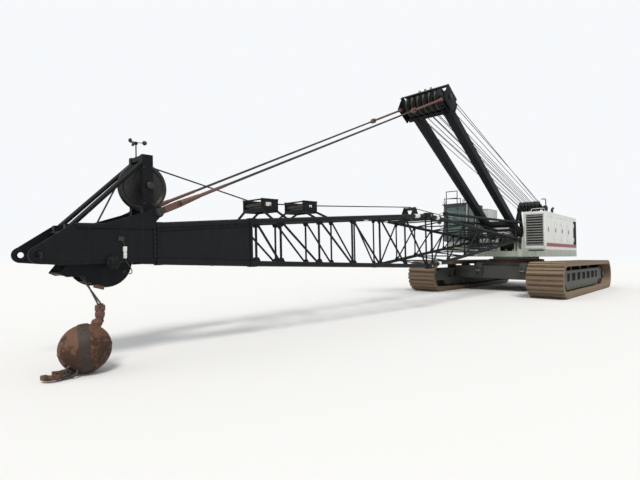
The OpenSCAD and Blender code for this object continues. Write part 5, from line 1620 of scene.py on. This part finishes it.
def pendant_fittings():
    """Sockets and link pins of the pendants."""
    lug = on_boom(15.16, 0, 0.48) - at(MAST_HEAD[0], 0, MAST_HEAD[1])
    reach = math.hypot(lug.x, lug.z)
    turn = math.atan2(lug.z, lug.x)

    def along(s, y):
        return at(MAST_HEAD[0] + s * math.cos(turn), y, MAST_HEAD[1] + s * math.sin(turn))

    def width(s):
        return 0.72 + (0.486 - 0.72) * (s - 0.38) / (reach - 0.71)

    link = 2.1
    sockets = Shape()
    for side in BOTH:
        for s0, s1, r0, r1 in (
                (0.40, 0.6, 0.055, 0.03), (0.6, 1.95, 0.03, 0.03), (1.95, link, 0.03, 0.05),
                (link, 2.3, 0.05, 0.026),
                (reach - 1.3, reach - 0.74, 0.027, 0.03), (reach - 0.74, reach - 0.38, 0.034, 0.052)):
            sockets.rod(along(s0, side * width(s0)), along(s1, side * width(s1)), r0, 20, r1)
        sockets.block(along(link, side * width(link)), (0.13, 0.09, 0.13), pitch(-turn), 0.015)
        sockets.block(along(reach - 0.24, side * 0.486), (0.28, 0.026, 0.108), pitch(-turn), 0.006)
    sockets.make("pendant_sockets", "pendants", "socket rust")
    pins = [(along(link, side * width(link)), LEFT) for side in BOTH]
    repeat("pendant_link_pins", "pendants", "round", (0.026, 0, 0.15), pins, "greased steel")


def gantry_fittings():
    """Bolts of the gantry and the pads of the boom stop bumpers."""
    bolts = []
    pads = Shape()
    for side in BOTH:
        way = sideways(side)
        bolts += [(at(x + dx, side * 0.6675, 1.72), way) for x in (-0.95, -3.15) for dx in (-0.06, 0.06)]
        bolts += bolt_circle(at, GANTRY, side * 0.6675, 0.11, 6, way)
        pads.block(at(-1.5925, side * 0.7, 2.85), (0.013, 0.15, 0.22), bevel=0.004)
    repeat("gantry_bolts", "upper", "hex", (0.016, 0, 0.012), bolts, "greased steel")
    pads.make("bumper_pads", "upper", "rubber")


BALL = (18.24, 0.7)
SOCKET = (18.04, 0.615)


def hook_fittings():
    """Seam, band, socket, pins and links of the hook ball."""
    seam = Shape()
    seam.hoop(at(*BALL, 0.31), (0.2, 0.1, 1.0), 0.3095, 0.006, 72)
    seam.make("ball_seam", "hook", "ball iron")
    band = Shape()
    crown = [(a, math.sqrt(0.3135 ** 2 - a * a)) for a in (-0.062 + 0.124 * k / 8 for k in range(9))]
    band.wheel(at(*BALL, 0.3138), [(-0.064, 0.29)] + crown + [(0.064, 0.29)], 72, (-0.95, 0.31, 0.12))
    band.make("ball_band", "hook", "ball band")
    socket = Shape()
    x, y = SOCKET
    neck = ((0, 0.048), (0.03, 0.058), (0.07, 0.062), (0.1, 0.052), (0.13, 0.05))
    socket.wheel(at(x, y, 0.66), neck, 24, UP)
    foot = ((0, 0.07), (0.02, 0.075), (0.05, 0.06), (0.06, 0.03))
    socket.wheel(at(x + 0.03, y, 0.60), foot, 24, (0.1, 0.1, 1))
    socket.block(at(x, y, 0.80), (0.12, 0.075, 0.09), bevel=0.02)
    socket.make("hook_socket", "hook", "socket rust")
    pins = [(at(x, y, z), LEFT) for z in (0.80, 0.70)]
    repeat("hook_socket_pins", "hook", "hex", (0.02, 0, 0.15), pins, "socket rust")
    links = Shape()
    links.hoop(at(18.52, 0.80, 0.062), (0.2, 0.1, 1.0), 0.085, 0.02, 32, 12)
    links.hoop(at(18.44, 0.86, 0.09), (0.2, 1.0, 0.35), 0.062, 0.016, 28, 12)
    links.make("hook_links", "hook", "greased steel")
    clips = Shape()
    for dx in (0.02, -0.02):
        clips.block(at(x + dx, y, 0.853), (0.034, 0.04, 0.012), bevel=0.003)
    clips.make("hook_rope_ends", "hook", "greased steel")


class CRANE_OT_boom(bpy.types.Operator):
    """Adds the pins, gussets, bands, guide box and head fittings of the boom."""
    bl_idname = "crane.boom"
    bl_label = "Boom"

    def execute(self, context):
        boom_fittings()
        foot_roller()
        guide_box_fittings()
        panel_fittings()
        head_fittings()
        guard_fittings()
        strut_fittings()
        sheave_fittings()
        limit_cord()
        return {"FINISHED"}


class CRANE_OT_mast(bpy.types.Operator):
    """Adds the frame, bolts, caps and cover of the mast, and the fittings of the pendants and gantry."""
    bl_idname = "crane.mast"
    bl_label = "Mast"

    def execute(self, context):
        mast_fittings()
        mast_cover()
        mast_frame()
        pendant_fittings()
        gantry_fittings()
        return {"FINISHED"}


class CRANE_OT_hook(bpy.types.Operator):
    """Adds the seam, band, socket and links of the hook ball."""
    bl_idname = "crane.hook"
    bl_label = "Hook ball"

    def execute(self, context):
        hook_fittings()
        return {"FINISHED"}


class CRANE_OT_finishes(bpy.types.Operator):
    """Builds the finishes and gives every solid of the crane its own."""
    bl_idname = "crane.finishes"
    bl_label = "Finishes"

    def execute(self, context):
        make_finishes(context.scene.crane_look)
        dress_nodes()
        return {"FINISHED"}


# Stage


SUN_COLOUR = (1.0, 0.97, 0.92)


def lay_floor(half):
    """The plain pale floor."""
    finish, _, shader = new_finish("stage floor")
    set_values(shader, {"Base Color": (0.8, 0.8, 0.79, 1), "Roughness": 0.9})
    mesh = bpy.data.meshes.new("stage_floor")
    mesh.from_pydata([(u, v, -0.002) for u, v in rectangle(-half, -half, half, half)], [], [(0, 1, 2, 3)])
    mesh.materials.append(finish)
    add_object("stage_floor", mesh)


def light_world(scene, sky):
    """Light from all round, with a pale background where the camera or glass looks at it."""
    scene.world = bpy.data.worlds.new("studio")
    scene.world.use_nodes = True
    tree = scene.world.node_tree
    light, shown = tree.nodes["Background"], tree.nodes.new("ShaderNodeBackground")
    set_values(light, {"Color": (0.95, 0.97, 1.0, 1), "Strength": sky})
    set_values(shown, {"Color": (0.93, 0.95, 0.97, 1), "Strength": 1.0})
    rays = tree.nodes.new("ShaderNodeLightPath").outputs
    blend = tree.nodes.new("ShaderNodeMixShader")
    seen = math_node(tree, "MAXIMUM", rays["Is Camera Ray"], rays["Is Transmission Ray"])
    for i, socket in enumerate((seen, light.outputs[0], shown.outputs[0])):
        tree.links.new(socket, blend.inputs[i])
    tree.links.new(blend.outputs[0], tree.nodes["World Output"].inputs["Surface"])


def add_sun(name, way, power, spread):
    """A soft sun that shines along a direction."""
    lamp = bpy.data.lights.new(name, "SUN")
    lamp.energy = power
    lamp.angle = math.radians(spread)
    lamp.color = SUN_COLOUR
    add_object(name, lamp).rotation_euler = Vector(way).to_track_quat("-Z", "Y").to_euler()


class CRANE_OT_stage(bpy.types.Operator):
    """Sets the floor, the light and the camera."""
    bl_idname = "crane.stage"
    bl_label = "Stage"

    def execute(self, context):
        scene = context.scene
        settings = scene.crane_stage
        lay_floor(settings.floor_half)
        light_world(scene, settings.sky)
        add_sun("key", (-0.5, -0.55, -1.0), settings.key, 18.0)
        add_sun("fill", (-1.0, 0.5, -0.6), settings.fill, 60.0)
        eye = bpy.data.cameras.new("camera")
        eye.sensor_width = 36.0
        eye.lens = settings.lens
        eye.clip_end = 500.0
        camera = add_object("camera", eye)
        camera.location = at(20.223, 6.647, 1.5)
        camera.rotation_euler = (math.radians(92.076), 0, math.radians(132.882))
        scene.camera = camera
        scene.view_settings.view_transform = "Standard"
        return {"FINISHED"}


# Settings, panel and registration


class CraneLook(bpy.types.PropertyGroup):
    """Colours and rope lay."""
    # Painted shade: this default is darker than the boom's black paint, standing in for the shade it stands in
    iron: FloatVectorProperty(name="Boom paint and shade", description="Colour of the boom, mast and gantry",
                              subtype="COLOR", default=(0.006, 0.0075, 0.009), min=0, max=1)
    # The louvres take this white made much darker, partly as painted shade
    white: FloatVectorProperty(name="House paint", description="Colour of the houses; darker on the louvres",
                               subtype="COLOR", default=(0.72, 0.74, 0.72), min=0, max=1)
    # The carbody, drum stands and side frames take this green made far darker as painted shade; the
    # counterweight takes it a little darker
    green: FloatVectorProperty(name="Deck paint",
                               description="Colour of the deck; darker on counterweight and undercarriage",
                               subtype="COLOR", default=(0.42, 0.47, 0.41), min=0, max=1)
    cab: FloatVectorProperty(name="Cab paint", description="Colour of the cab and its door", subtype="COLOR",
                             default=(0.055, 0.078, 0.076), min=0, max=1)
    rope_lay: FloatProperty(name="Rope lay", description="Twists of a rope's strands for each metre",
                            default=14.0, min=4, max=40)


class CraneStage(bpy.types.PropertyGroup):
    """Floor, lights and lens."""
    floor_half: FloatProperty(name="Floor half size", description="Half size of the floor",
                              default=90.0, min=20, subtype="DISTANCE")
    key: FloatProperty(name="Key light", description="Strength of the key light", default=2.2, min=0)
    fill: FloatProperty(name="Fill light", description="Strength of the fill light", default=0.5, min=0)
    sky: FloatProperty(name="Sky light", description="Strength of the light from all round",
                       default=0.62, min=0)
    lens: FloatProperty(name="Lens", description="Focal length of the camera", default=23.93, min=10)


class CRANE_PT_dresser(bpy.types.Panel):
    """Lists the crane's settings and its groups of pieces."""
    bl_label = "Crawler crane"
    bl_space_type = "VIEW_3D"
    bl_region_type = "UI"
    bl_category = "Crane"

    def draw(self, context):
        column = self.layout.column()
        for name in ("iron", "white", "green", "cab", "rope_lay"):
            column.prop(context.scene.crane_look, name)
        for name in ("floor_half", "key", "fill", "sky", "lens"):
            column.prop(context.scene.crane_stage, name)
        for operator in STEPS:
            column.operator(operator.bl_idname)


STEPS = (CRANE_OT_stage, CRANE_OT_finishes, CRANE_OT_tracks, CRANE_OT_undercarriage, CRANE_OT_houses,
         CRANE_OT_cab, CRANE_OT_winches, CRANE_OT_ropes, CRANE_OT_boom, CRANE_OT_mast, CRANE_OT_hook)
CLASSES = (CraneLook, CraneStage) + STEPS + (CRANE_PT_dresser,)


def register():
    """Registers the classes and puts the settings on the scene."""
    for cls in CLASSES:
        bpy.utils.register_class(cls)
    bpy.types.Scene.crane_look = PointerProperty(type=CraneLook)
    bpy.types.Scene.crane_stage = PointerProperty(type=CraneStage)


def unregister():
    """Takes the settings and the classes away again."""
    del bpy.types.Scene.crane_look
    del bpy.types.Scene.crane_stage
    for cls in reversed(CLASSES):
        bpy.utils.unregister_class(cls)


def main():
    """Runs every step in order."""
    register()
    for step in STEPS:
        group, name = step.bl_idname.split(".")
        getattr(getattr(bpy.ops, group), name)()
    bpy.context.view_layer.update()


if __name__ == "__main__":
    main()
